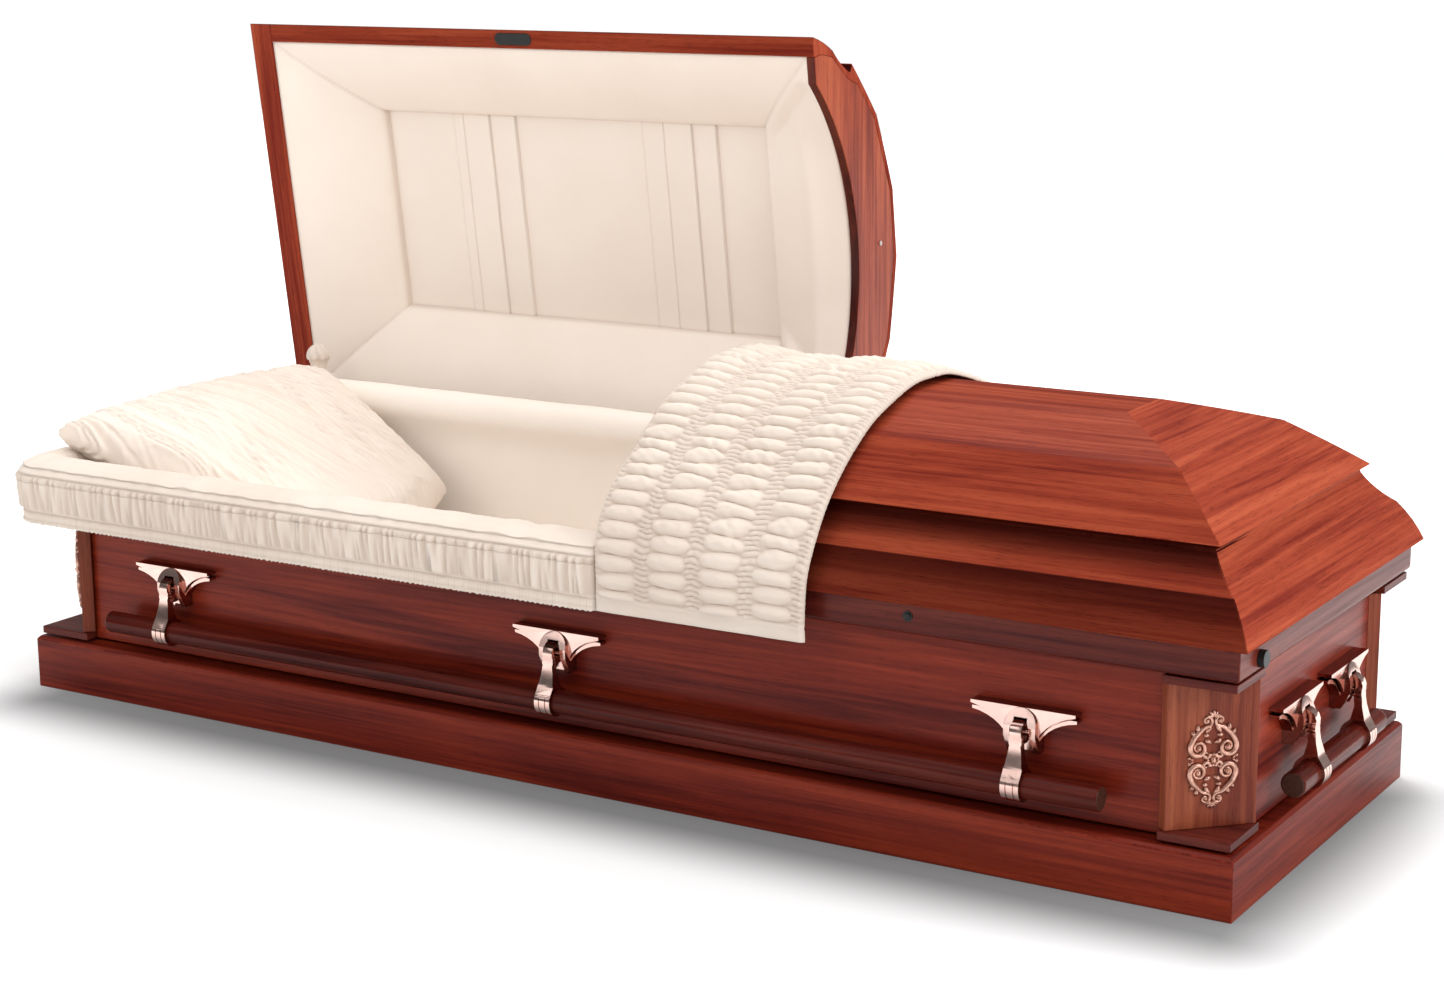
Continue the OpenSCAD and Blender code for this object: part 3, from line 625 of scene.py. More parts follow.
def grid_piece(name, points, material, body, nodes=(), thick=0.0, flip=False,
               crease=None):
    rows, cols = points.shape[:2]
    i, j = np.meshgrid(np.arange(rows - 1), np.arange(cols - 1), indexing="ij")
    a = (i * cols + j).ravel()
    quads = np.stack([a, a + cols, a + cols + 1, a + 1], 1)
    piece = mesh_piece(name, points.reshape(-1, 3), quads[:, ::-1] if flip else quads,
                       material, body, nodes, thick)
    if crease is not None:
        mark_creases(piece.data, crease)
    return piece


def mesh_piece(name, points, faces, material, body, nodes=(), thick=0.0):
    mesh = bpy.data.meshes.new(name)
    mesh.from_pydata([tuple(p) for p in np.asarray(points, float)], [],
                     [tuple(int(k) for k in f) for f in faces])
    mesh.materials.append(material)
    mesh.shade_smooth()
    piece = bpy.data.objects.new(name, mesh)
    scene.collection.objects.link(piece)
    if thick:
        wall = piece.modifiers.new("cloth thickness", "SOLIDIFY")
        wall.thickness, wall.offset = thick, -1
    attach(piece, body)
    if nodes:
        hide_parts(*nodes)
    return piece


def coordinates(mesh):
    flat = np.zeros(len(mesh.vertices) * 3, np.float32)
    mesh.vertices.foreach_get("co", flat)
    return flat.reshape(-1, 3).astype(float)


print("cloth tools are ready")

# %% [markdown]
# ## Stitches and screws
#
# A sewing machine puts the same short stitch at the same distance along the whole seam. One
# Geometry Nodes tree does that: it turns a line of edges into a curve, steps along it, and lays
# a small bead of thread on every step. A second tree puts a round head on every point it is
# given, turned to the point's own direction: the lock plate's two screws, the flange round the
# front plug, and the pin in the head lid's end board. Each result is made into a plain mesh.

# %% Trees for stitches and screws
def new_tree(name, sizes):
    tree = bpy.data.node_groups.new(name, "GeometryNodeTree")
    tree.interface.new_socket("Geometry", in_out="INPUT", socket_type="NodeSocketGeometry")
    for size in sizes:
        tree.interface.new_socket(size, in_out="INPUT", socket_type="NodeSocketFloat")
    tree.interface.new_socket("Made", in_out="OUTPUT", socket_type="NodeSocketGeometry")
    return tree, tree.nodes.new("NodeGroupInput").outputs


def end_tree(tree, instances, material):
    real = add(tree, "GeometryNodeRealizeInstances", _0=instances)
    painted = add(tree, "GeometryNodeSetMaterial", Geometry=real, Material=material)
    tree.links.new(painted, tree.nodes.new("NodeGroupOutput").inputs[0])


def stitch_tree(material):
    tree, given = new_tree("stitches along a line", ("Pitch", "Length", "Thickness"))
    curve = add(tree, "GeometryNodeMeshToCurve", _0=given["Geometry"])
    steps = add(tree, "GeometryNodeResampleCurve", {"mode": "LENGTH"}, Curve=curve,
                Length=given["Pitch"])
    bead = add(tree, "GeometryNodeMeshIcoSphere", Radius=0.5, Subdivisions=1)
    size = joined(tree, given["Length"], given["Thickness"], given["Thickness"])
    turn = add(tree, "FunctionNodeAlignRotationToVector", {"axis": "X"},
               Vector=tree.nodes.new("GeometryNodeInputTangent").outputs[0])
    laid = add(tree, "GeometryNodeInstanceOnPoints", Points=steps, Instance=bead,
               Rotation=turn, Scale=size)
    end_tree(tree, laid, material)
    return tree


def screw_tree(material):
    tree, given = new_tree("screw heads on points", ("Radius", "Height"))
    head = add(tree, "GeometryNodeMeshCylinder", Vertices=20, Radius=given["Radius"],
               Depth=given["Height"])
    way = add(tree, "GeometryNodeInputNamedAttribute", {"data_type": "FLOAT_VECTOR"}, Name="way")
    turn = add(tree, "FunctionNodeAlignRotationToVector", {"axis": "Z"}, Vector=way)
    points = add(tree, "GeometryNodeMeshToPoints", Mesh=given["Geometry"])
    laid = add(tree, "GeometryNodeInstanceOnPoints", Points=points, Instance=head,
               Rotation=turn)
    end_tree(tree, laid, material)
    return tree


def from_tree(name, points, edges, tree, sizes, body, way=None):
    """run a tree on points and edges, and keep the result as a plain mesh on the body."""
    mesh = bpy.data.meshes.new(name)
    mesh.from_pydata([tuple(p) for p in np.asarray(points, float)], edges, [])
    if way is not None:
        mesh.attributes.new("way", "FLOAT_VECTOR", "POINT").data.foreach_set(
            "vector", np.tile(np.asarray(way, np.float32), len(points)))
    piece = bpy.data.objects.new(name, mesh)
    maker = piece.modifiers.new("made by nodes", "NODES")
    maker.node_group = tree
    for socket in tree.interface.items_tree:
        if socket.name in sizes:
            maker[socket.identifier] = sizes[socket.name]
    scene.collection.objects.link(piece)
    graph = bpy.context.evaluated_depsgraph_get()
    piece.data = bpy.data.meshes.new_from_object(piece.evaluated_get(graph), depsgraph=graph)
    piece.data.name = name
    piece.modifiers.clear()
    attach(piece, body)
    print(name, len(piece.data.polygons), "faces")
    return piece


def seam(name, lines, body, pitch=0.0048, long=0.0034, thick=0.0010):
    points, edges = [], []
    for line in lines:
        edges += [(len(points) + k, len(points) + k + 1) for k in range(len(line) - 1)]
        points += [tuple(p) for p in line]
    return from_tree(name, points, edges, thread_tree,
                     {"Pitch": pitch, "Length": long, "Thickness": thick}, body)


thread, tree, shader = finish_called("cream_thread", Roughness=0.6, Sheen_Weight=0.3)
twist = add(tree, "ShaderNodeTexWave", Vector=object_point(tree), Scale=900.0)
tree.links.new(ramp(tree, twist, (0, (0.70, 0.60, 0.51)), (1, (0.86, 0.77, 0.68))),
               shader.inputs["Base Color"])
bump(tree, shader, twist, 0.3, 0.0003)
thread_tree = stitch_tree(thread)
steel_screws, black_screws = screw_tree(steel), screw_tree(black)

print("trees:", [group.name for group in bpy.data.node_groups])

# %% Screws, flange and pin
SCREW_IN, PIN_Y, PIN_Z = 0.007, 0.483, 0.699
low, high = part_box("lock_plate")
lid_way = (0, -math.sin(open_angle), -math.cos(open_angle))
middle = (low + high) / 2 + Vector(lid_way) * 0.0004
from_tree("lock_screws", [(x, middle.y, middle.z) for x in (low.x + SCREW_IN, high.x - SCREW_IN)],
          [], black_screws, {"Radius": 0.0042, "Height": 0.0008}, "head_lid", lid_way)
low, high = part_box("front_plug")
middle = (low + high) / 2
from_tree("front_plug_flange", [(middle.x, high.y - 0.0004, middle.z)], [], black_screws,
          {"Radius": 0.0072, "Height": 0.0016}, "root", (0, -1, 0))
from_tree("end_board_pin", [(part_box("head_lid_end_board")[1].x, PIN_Y, PIN_Z)], [],
          steel_screws, {"Radius": 0.0040, "Height": 0.0040}, "head_lid", (1, 0, 0))

# %% [markdown]
# ## The corner ornaments
#
# Each corner board carries a cast ornament of scrolls. A quarter of it is drawn as a few lines
# in millimetres: a small volute runs into a large one, with leaves and beads between them. Every
# line becomes a tube whose thickness swells and tapers, as the cast relief does, and the
# drawing is mirrored both ways. The result is fitted to the CAD ornament's own width, height
# and depth.

# %% Ornament lines
FULLER = 1.45


def volute(centre, radius, start, turns, way, count=44):
    t = np.linspace(0, 1, count)
    angle = math.radians(start) + way * turns * 2 * np.pi * t
    r = radius * (0.17 + 0.83 * (1 - t) ** 1.15)
    return np.column_stack([centre[0] + r * np.cos(angle), centre[1] + r * np.sin(angle)])


def relief_tube(line, radii, lift=0.4, rise=1.0, sides=8):
    """points and faces of a tapering tube along a flat line, half sunk in the board."""
    line, _ = through(line, len(radii), 1)
    run = np.gradient(line, axis=0)
    run /= np.maximum(np.linalg.norm(run, axis=1, keepdims=True), 1e-9)
    side = np.column_stack([run[:, 1], -run[:, 0]])
    turn = np.arange(sides) * 2 * np.pi / sides
    flat = line[:, None] + side[:, None] * (np.cos(turn)[None, :, None] * radii[:, None, None])
    high = lift + rise * radii[:, None] * np.sin(turn)[None]
    points = np.dstack([flat, np.maximum(high, -0.3)]).reshape(-1, 3)
    faces = []
    for k in range(len(line) - 1):
        for j in range(sides):
            a, b = k * sides + j, k * sides + (j + 1) % sides
            faces.append((a, b, b + sides, a + sides))
    last = (len(line) - 1) * sides
    return points, faces + [tuple(range(sides))[::-1], tuple(range(last, last + sides))]


print("a volute has", len(volute((0, 0), 1, 0, 1, 1)), "points")


# %% Leaves, beads and the whole drawing
def swelling(count, start, middle, end):
    t = np.linspace(0, 1, count)
    return np.where(t < 0.5, start + (middle - start) * smooth(2 * t),
                    middle + (end - middle) * smooth(2 * t - 1))


def leaf(base, tip, wide, count=12):
    t = np.linspace(0, 1, count)
    return [np.array(base) * (1 - k) + np.array(tip) * k for k in t], \
        wide * (np.sin(np.pi * (0.06 + 0.90 * t)) ** 0.8 * (1 - 0.25 * t) + 0.05)


def bead(at, r, count=9):
    t = np.linspace(-1, 1, count)
    return [(at[0] + r * k, at[1]) for k in t], r * np.sqrt(np.maximum(1 - t ** 2, 0.004))


def ornament_drawing():
    """points and faces of the whole ornament, in millimetres, X across and Y up the board."""
    top = volute((9, 52), 7.6, -100, 1.35, -1)[::-1]
    big = volute((20.5, 16.5), 12.6, 40, 1.75, -1, 60)
    s_scroll = np.vstack([top, [(14, 43.5), (21, 37), (28, 30)], big])
    quarter = [(s_scroll, swelling(110, 1.2, 3.0, 1.3)),
               (volute((9.5, 8), 6.0, 175, 1.0, 1, 26), swelling(30, 2.4, 2.0, 1.2)),
               leaf((11, 36), (2.5, 47), 2.6), leaf((14, 33), (5, 33), 2.2),
               leaf((12, 27), (1.5, 22), 2.6), leaf((26, 33), (31, 40), 2.3),
               leaf((22, 38), (22, 48), 2.5), leaf((32, 6), (34.5, 1.2), 2.2),
               leaf((28, 3), (31, 0.5), 2.0), bead((20.5, 16.5), 3.6), bead((9, 52), 2.4)]
    crest = [leaf((0, 57), (9.5 * math.sin(a), 57 + 9.5 * math.cos(a)), 1.9)
             for a in np.radians((-75, -38, 0, 38, 75))]
    middle = [bead((0, 0), 4.2)] + [bead((6.8 * math.cos(a), 6.8 * math.sin(a)), 2.3)
                                    for a in np.linspace(0, 2 * np.pi, 9)[:-1]]
    points, faces = [], []
    for lines, mirrors in ((quarter, ((1, 1), (-1, 1), (1, -1), (-1, -1))),
                           (crest, ((1, 1), (1, -1))), (middle, ((1, 1),))):
        for line, radii in lines:
            part, quads = relief_tube(line, np.asarray(radii, float) * FULLER)
            for mx, my in mirrors:
                start = sum(len(p) for p in points)
                points.append(part * (mx, my, 1))
                faces += [tuple(start + k for k in (q if mx * my > 0 else q[::-1])) for q in quads]
    return np.vstack(points), faces


# %% Ornaments on the corner boards
def span(values):
    return values.min(), values.max()


drawing, drawing_faces = ornament_drawing()
for node in [n for n in slot_of if n.startswith("ornament")]:
    cad = coordinates(frame["nodes"][node].data)
    ways = np.sign(cad.mean(0)[:2]) / math.sqrt(2)
    out, side = np.array([*ways, 0]), np.array([-ways[1], ways[0], 0])
    depth, across, tall = (span(v) for v in (cad @ out, cad @ side, cad[:, 2]))
    fit = [np.ptp(across) / np.ptp(drawing[:, 0]), np.ptp(tall) / np.ptp(drawing[:, 1]),
           np.ptp(depth) / drawing[:, 2].max()]
    placed = (sum(across) / 2 + drawing[:, :1] * fit[0]) * side \
        + (depth[0] + np.maximum(drawing[:, 2:] * fit[2], -0.0002)) * out
    placed[:, 2] = sum(tall) / 2 + drawing[:, 1] * fit[1]
    mesh_piece(f"{node}_relief", placed, drawing_faces, copper, "root", [node])
print("ornaments:", len(drawing_faces), "faces each")

# %% [markdown]
# ## The lids' linings
#
# Inside each lid hangs a shallow tray of satin over padding: four soft borders rise from the
# wooden rim to a flat panel. Two groups of narrow pleats cross the head panel. Each border is a
# height that grows from its own side, and the lowest height wins at every point, which makes
# the mitre seams by itself. At the division the border follows the arch of the end board. The
# head lid stands open, so its lining is drawn closed and turned about the hinge with it.

# %% Sizes and profiles of the lids' linings
low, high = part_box("foot_lid")
LID_FLOOR, LID_HALF, LID_END, foot_cut = low.z, high.y, high.x, low.x
head_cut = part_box("head_lid")[1].x
RIM_SIDE, RIM_END, TRAY_DEEP, END_BOARD = 0.031, 0.043, 0.100, 0.015
ARCH_RISE, ARCH_HALF, CLEARANCE = 0.098, 0.270, 0.0006
FRONT_BORDER, BACK_BORDER, END_BORDER, DIVISION_BORDER = 0.134, 0.139, 0.160, 0.138
ROLLED_FROM, ON_PANEL = 0.965, 0.999


def turned_open(points):
    p = points - hinge_at
    c, s = math.cos(open_angle), math.sin(open_angle)
    return np.stack([p[..., 0], p[..., 1] * c + p[..., 2] * s,
                     -p[..., 1] * s + p[..., 2] * c], -1) + hinge_at


def arch_height(y):
    radius = (ARCH_HALF ** 2 + ARCH_RISE ** 2) / (2 * ARCH_RISE)
    inside = np.clip(radius ** 2 - y ** 2, 0, None)
    return np.maximum(np.sqrt(inside) - (radius - ARCH_RISE), 0)


def border(s):
    """a padded border's height at the share s of its width; its inner edge rolls over."""
    s = np.clip(s, 0, 1)
    slope = 0.004 + (TRAY_DEEP - 0.015) * (0.32 * s + 0.68 * s ** 1.7)
    return slope + 0.004 * smooth((s - ROLLED_FROM) / (1 - ROLLED_FROM))


def strip_lift(x, lines):
    """knife pleats: the cloth climbs from each line to the next and falls back sharply."""
    lift, line = 0 * x, 0 * x
    for k, (a, b) in enumerate(zip(lines[:-1], lines[1:])):
        t = (x - a) / (b - a)
        high, dark = (0.0060, 0.9) if k else (0.0030, 0.7)
        climb = high * (0.25 + 0.75 * np.clip(t, 0, 1) ** 0.6)
        lift = lift + np.where((t >= 0) & (t < 1), climb, 0)
        line = line + dark * ridge_at(x - b - 0.0006, 0.0011)
    return lift, line + 0.45 * ridge_at(x - lines[0], 0.0016)


print("the linings lie", round(LID_FLOOR, 4), "m up when the lids are closed")


# %% Shape of a lid's lining
def tray(x, y, end, division, way, pleats):
    """height of a lid's lining over its lip, and its creases. x runs from the rim at the
    lid's end to the division, and way is +1 where the division lies towards +X."""
    side = LID_HALF - RIM_SIDE
    widths = np.array([FRONT_BORDER, BACK_BORDER, END_BORDER, DIVISION_BORDER])
    from_edge = np.stack([y + side, side - y, (x - end) * way, (division - x) * way])
    shares = from_edge / widths[:, None, None]
    nearest, second = np.sort(shares, 0)[:2]
    arch = arch_height(y) + 0.003
    swept = arch + (TRAY_DEEP - 0.012 - arch) * np.clip(nearest, 0, 1) ** 0.8
    swept -= (0.006 * np.sin(np.pi * np.clip(nearest, 0, 1))
              + 0.005 * ridge_at(nearest - 0.42, 0.10)) * smooth(arch / 0.05)
    arched = smooth((second - nearest) / 0.30) * (shares[3] <= nearest) * (nearest < ROLLED_FROM)
    panel = nearest >= ON_PANEL
    height = np.where(panel, TRAY_DEEP, border(nearest) * (1 - arched) + swept * arched)
    mitre = ridge_at(second - nearest, 0.020) * smooth(nearest / 0.1) * ~panel
    height = height + 0.0016 * mitre
    # painted shade along the mitre seams, the panel's edge and the pleat lines
    crease = 0.28 * mitre + 0.45 * ridge_at((nearest - 1.0) * 0.14, 0.0022)
    for lines in pleats:
        lift, line = strip_lift(x, lines)
        height = height - np.where(panel, lift, 0)
        crease = crease + np.where(panel, line, 0) * 0.5
    loose = waves(x * 0.8 + y * 0.3, 0.16, 3) * waves(y - x * 0.2, 0.19, 4)
    return height + 0.0007 * loose * smooth(height / 0.03), crease


def with_lines(low, high, step, lines):
    """evenly spaced values from low to high, with close ones round each line."""
    extra = [line + d for line in lines
             for d in (-0.0030, -0.0016, -0.0008, 0.0, 0.0008, 0.0016, 0.0030)]
    even = [v for v in np.linspace(low, high, int((high - low) / step) + 1)
            if min(abs(v - line) for line in lines) > 0.0045]
    return np.array(sorted(even + [v for v in extra if low < v < high]))


# %% Both linings
PLEATS = [(-0.695, -0.674, -0.617, -0.563), (-0.308, -0.266, -0.210, -0.163)]


def lid_lining(lid, end, division, way, pleats):
    side = LID_HALF - RIM_SIDE - CLEARANCE
    panel_x = [end + way * END_BORDER, division - way * DIVISION_BORDER]
    step = 0.0045 if pleats else 0.0065
    x = with_lines(min(end, division), max(end, division), step,
                   panel_x + [line for lines in pleats for line in lines])
    y = with_lines(-side, side, step, [FRONT_BORDER - side - CLEARANCE,
                                       side + CLEARANCE - BACK_BORDER])
    X, Y = np.meshgrid(x, y, indexing="ij")
    H, crease = tray(X, Y, end, division, way, pleats)
    points = np.stack([X, Y, LID_FLOOR + H], -1)
    if lid == "head_lid":
        points = turned_open(points)
    piece = grid_piece(f"{lid}_satin", points, satin, lid, [f"{lid}_lining"],
                       0.0012, flip=True, crease=crease)


lid_lining("head_lid", -LID_END + RIM_END + CLEARANCE, head_cut - END_BOARD - CLEARANCE, 1, PLEATS)
lid_lining("foot_lid", LID_END - RIM_END - CLEARANCE, foot_cut + END_BOARD + CLEARANCE, -1, [])

# %% [markdown]
# ## The body's lining
#
# Below the rail the walls are covered in the same satin, drawn tight over thin padding. Along
# the back it rises over the rail in a thick soft roll, which is a piece of its own apart from
# the walls.

# %% Walls
RAIL_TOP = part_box("rail")[1].z
low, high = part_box("body_lining")
FLOOR_Z = low.z
WELL_X, WELL_Y, CORNER_CUT = high.x, 0.2675, 1.2200
WALL_LEVELS = [(0.0, 0.0), (1.0, 0.012), (1.0, 0.10), (1.0, 0.20), (0.97, 0.235), (0.8, 0.2485),
               (0.4, 0.2535), (0.06, 0.2540)]


def wall_plan(inwards, count=640):
    """the well's outline, moved inwards, with its four corners cut off at 45 degrees."""
    x, y = WELL_X - inwards, WELL_Y - inwards
    cut = CORNER_CUT - inwards * math.sqrt(2)
    ring = [(x, cut - x), (cut - y, y), (y - cut, y), (-x, cut - x),
            (-x, x - cut), (y - cut, -y), (cut - y, -y), (x, x - cut), (x, cut - x)]
    return through(ring, count)


outer, along = wall_plan(0.0012)
inner, _ = wall_plan(0.0165)
to_inside = (inner - outer) / np.linalg.norm(inner - outer, axis=1, keepdims=True)
rows = []
for inwards, up in through(WALL_LEVELS, 26, 2)[0]:
    ripple = 0.0008 * waves(along, 0.17, 21) * smooth(up / 0.03) * inwards
    ring = outer + (inner - outer) * inwards + to_inside * ripple[:, None]
    rows.append(np.column_stack([ring, np.full(len(ring), FLOOR_Z + up)]))
walls = np.array(rows)
wall_cloth = grid_piece("body_satin", walls, wall_satin_painted_light, "root", ["body_lining"], 0.0010)
print("the walls' lining is", round(float(along[-1]), 3), "m round")

# %% Back roll
ROLL_FROM, ROLL_TO, ROLL_MIDDLE = -0.992, 0.062, np.array([0.267, 0.388])
ROLL_LINE = [(0.2488, 0.190), (0.2488, 0.300), (0.2480, 0.345), (0.243, 0.366), (0.234, 0.392),
             (0.243, 0.420), (0.266, 0.430), (0.290, 0.420), (0.300, 0.394), (0.296, 0.366),
             (0.286, 0.3535), (0.276, 0.3525)]
roll_x = np.linspace(ROLL_FROM, ROLL_TO, 330)
ends = smooth((roll_x - ROLL_FROM) / 0.02) * smooth((ROLL_TO - roll_x) / 0.012)
rows = []
for k, (y, z) in enumerate(through(ROLL_LINE, 56)[0]):
    free = smooth((z - 0.30) / 0.08)
    swell = 0.0014 * waves(roll_x, 0.21, 31) + 0.0002 * waves(roll_x + 0.3 * k / 40, 0.035, 32)
    away = np.array([y, z]) - ROLL_MIDDLE
    share = 1 + free * ((1 + swell / np.linalg.norm(away)) * (0.35 + 0.65 * ends ** 0.4) - 1)
    up = z + 0 * share
    if z > 0.352:
        up = np.maximum(ROLL_MIDDLE[1] + away[1] * share, RAIL_TOP + 0.0006)
    rows.append(np.column_stack([roll_x, ROLL_MIDDLE[0] + away[0] * share, up]))
roll = np.array(rows)
back_roll = grid_piece("back_roll", roll, wall_satin_painted_light, "root", thick=0.0010, flip=True)
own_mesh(back_roll)
print("back roll, top at", round(float(roll[..., 2].max()), 3))

# %% [markdown]
# ## The mattress
#
# The mattress is a plain padded slab. Its top is a shallow crown, and its edge is pulled in by
# the seam, so the grid is bent down round its border. Its corners are cut off like the well's.

# %% Mattress
low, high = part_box("mattress")
half_x, half_y = (high.x - low.x) / 2, (high.y - low.y) / 2
U, V = np.meshgrid(np.linspace(-1, 1, 200), np.linspace(-1, 1, 70), indexing="ij")
from_edge = np.minimum((1 - abs(U)) * half_x, (1 - abs(V)) * half_y)
fall = np.sqrt(np.clip(1 - (1 - np.clip(from_edge / 0.03, 0, 1)) ** 2, 0, 1))
crown = high.z - 0.012 + 0.010 * smooth(from_edge / 0.18)
quilted = 0.0015 * waves(U * half_x, 0.16, 41) * waves(V * half_y, 0.13, 42)
Z = low.z + 0.02 + (crown - low.z - 0.02) * (0.3 + 0.7 * fall) + quilted * fall
pull = 0.004 * (1 - fall)
X, Y = U * (half_x - pull), V * (half_y - pull)
over = np.clip(abs(X) + abs(Y) - (half_x + half_y - 0.058), 0, None) / 2
X, Y = X - np.sign(X) * over, Y - np.sign(Y) * over
mattress = grid_piece("mattress_pad", np.stack([X, Y, Z], -1), satin, "root",
                      ["mattress"], 0.004)
print("mattress top", round(float(Z.max()), 3))

# %% [markdown]
# ## The front border
#
# A shirred border covers the rail along the front and round the head end while the lid is open.
# Its top is a soft roll. Below a line of stitches the face hangs in close upright folds, down to
# a narrow ribbed band with two more stitch lines and a frilled edge. The border is one sweep of
# a cross section along an L-shaped path with a round corner. The upper part lies over the rail
# where the closed lid presses on it, so the sweep is cut at the rail's top into a roll and an
# apron that hangs free. At both ends the cloth is tucked in towards the rail.

# %% Path of the border
low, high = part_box("extendover")
BORDER_X, BORDER_Y, BORDER_LOW = low.x, low.y, low.z
PATH_END, PATH_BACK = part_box("quilt")[0].x + 0.002, high.y - 0.0005
INNER_X, INNER_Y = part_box("body_lining")[0].x + 0.001, -0.2665
CORNER_R, INNER_R = 0.075, 0.010


def border_path(step=0.0022):
    """outer points, inner points and length along the outer edge."""
    corner = np.array([BORDER_X + CORNER_R, BORDER_Y + CORNER_R])
    run_x = np.arange(PATH_END, corner[0], -step)
    turn = np.linspace(-np.pi / 2, -np.pi, int(CORNER_R * np.pi / 2 / step))
    run_y = np.arange(corner[1] + step, PATH_BACK, step)
    outer = np.vstack([np.column_stack([run_x, 0 * run_x + BORDER_Y]),
                       corner + CORNER_R * np.column_stack([np.cos(turn), np.sin(turn)]),
                       np.column_stack([0 * run_y + BORDER_X, run_y])])
    small = np.array([INNER_X + INNER_R, INNER_Y + INNER_R])
    inner = np.vstack([np.column_stack([np.maximum(run_x, small[0]), 0 * run_x + INNER_Y]),
                       small + INNER_R * np.column_stack([np.cos(turn), np.sin(turn)]),
                       np.column_stack([0 * run_y + INNER_X, np.maximum(run_y, small[1])])])
    length = np.r_[0, np.cumsum(np.linalg.norm(np.diff(outer, axis=0), axis=1))]
    return outer, inner, length


outer_path, inner_path, path_length = border_path()
outward = outer_path - inner_path
outward /= np.linalg.norm(outward, axis=1, keepdims=True)
print("border length", round(float(path_length[-1]), 3))

# %% Folds of the border
STITCH_Z, BAND_Z, HEM_Z = BORDER_LOW + 0.079, BORDER_LOW + 0.019, BORDER_LOW + 0.0065
GATHER_PITCH, LOW_GATHER_PITCH = 0.0175, 0.0140
FOLD_DEEP, FACE_IN, TUCK = 0.0090, 0.0052, 0.022


def ridges_of(u, pitch, seed):
    """narrow ridges with wide hollows between them, unevenly spaced, 0 to 1."""
    phase = u / pitch + 0.55 * waves(u, pitch * 3.3, seed)
    near = np.abs(phase - np.round(phase)) * 2
    tall = 0.7 + 0.3 * waves(u, pitch * 5, seed + 100)
    return np.clip(tall, 0.35, 1.2) * (1 - smooth(near / 0.9)) + 0.12 * np.sin(np.pi * near) ** 2


def border_surface(section_points):
    """section_points are [share of the way out, push outwards in metres, height]."""
    shirr = ridges_of(path_length, GATHER_PITCH, 51)
    shirr_low = ridges_of(path_length + 0.003 * waves(path_length, 0.05, 55), LOW_GATHER_PITCH, 52)
    ribs = folds(path_length, 0.0052, 53, 0.1)
    frill = np.abs(np.sin(np.pi * path_length / 0.0085 + waves(path_length, 0.05, 54)))
    wander = 0.0016 * waves(path_length, 0.16, 56)
    from_end = np.minimum(path_length, path_length[-1] - path_length)
    tucked_in = 1 - np.sqrt(1 - (1 - np.clip(from_end / 0.009, 0, 1)) ** 2)
    rows, creases = [], []
    for f, push, z in section_points:
        face = f > 0.9
        on_face = smooth((STITCH_Z - z) / 0.006) * smooth((z - BAND_Z) / 0.007) * face
        upper = smooth((z - BAND_Z) / 0.06)
        gathers = shirr * upper + shirr_low * (1 - upper)
        below = smooth((BAND_Z - z + 0.002) / 0.003) * face
        top = (f <= 0.9) * smooth((z - 0.354) / 0.01)
        fold = gathers * on_face * FOLD_DEEP + 0.0014 * ribs * below
        fold = fold + top * 0.0011 * waves(path_length + 0.02 * f, 0.03, 57)
        # painted shade in the hollows between gathers and ribs and along the stitch lines
        hollow = on_face * (1 - gathers) ** 2 * 0.5 + below * (0.30 * (1 - ribs))
        for line in (STITCH_Z, BAND_Z, HEM_Z):
            hollow = hollow + 0.45 * ridge_at(z - line, 0.0012) * face
        beading = 0.0022 * frill * ridge_at(z - STITCH_Z + 0.005, 0.003) * face
        shift = push + fold + beading + wander * (f > 0.5) * 0.6 - FACE_IN * face
        shift = shift - TUCK * f * tucked_in
        flat = inner_path + (outer_path - inner_path) * f + outward * shift[:, None]
        height = z + 0.0022 * frill * (z < BORDER_LOW + 0.004)
        height = height + (f <= 0.97) * top * 0.0012 * waves(path_length, 0.07, 58)
        rows.append(np.column_stack([flat, height]))
        creases.append(np.clip(hollow, 0, 1))
    return np.array(rows), np.array(creases)


print("gathers about every", GATHER_PITCH * 1000, "mm")

# %% Roll and apron of the border
roll_section = [(0.0, 0, 0.3515), (0.0, 0, 0.356), (0.05, 0, 0.366), (0.18, 0, 0.3765),
                (0.38, 0, 0.3825), (0.58, 0, 0.3825), (0.76, 0, 0.3785), (0.90, 0, 0.3725),
                (0.975, 0.001, 0.3665), (1.0, 0.001, STITCH_Z + 0.002), (1.0, -0.0022, STITCH_Z),
                (1.0, 0.0, STITCH_Z - 0.002), (1.0, 0.0, 0.355), (1.0, 0, RAIL_TOP)]
apron_section = [(1.0, 0.0, RAIL_TOP), (1.0, 0.0, 0.335), (1.0, -0.002, 0.320),
                 (1.0, -0.004, BAND_Z + 0.004), (1.0, -0.0065, BAND_Z),
                 (1.0, -0.005, BAND_Z - 0.003), (1.0, -0.0045, BAND_Z - 0.010),
                 (1.0, -0.006, HEM_Z), (1.0, -0.0042, BORDER_LOW + 0.004),
                 (1.0, -0.003, BORDER_LOW)]


def fine(section, step):
    """a section's points, step apart, with the way outwards counted a tenth as long."""
    points = np.array(section, float)
    strides = np.diff(points * (0.1, 1, 1), axis=0)
    along = np.r_[0, np.cumsum(np.linalg.norm(strides, axis=1))]
    at = np.linspace(0, along[-1], int(along[-1] / step) + 2)
    return np.stack([np.interp(at, along, points[:, k]) for k in range(3)], 1)


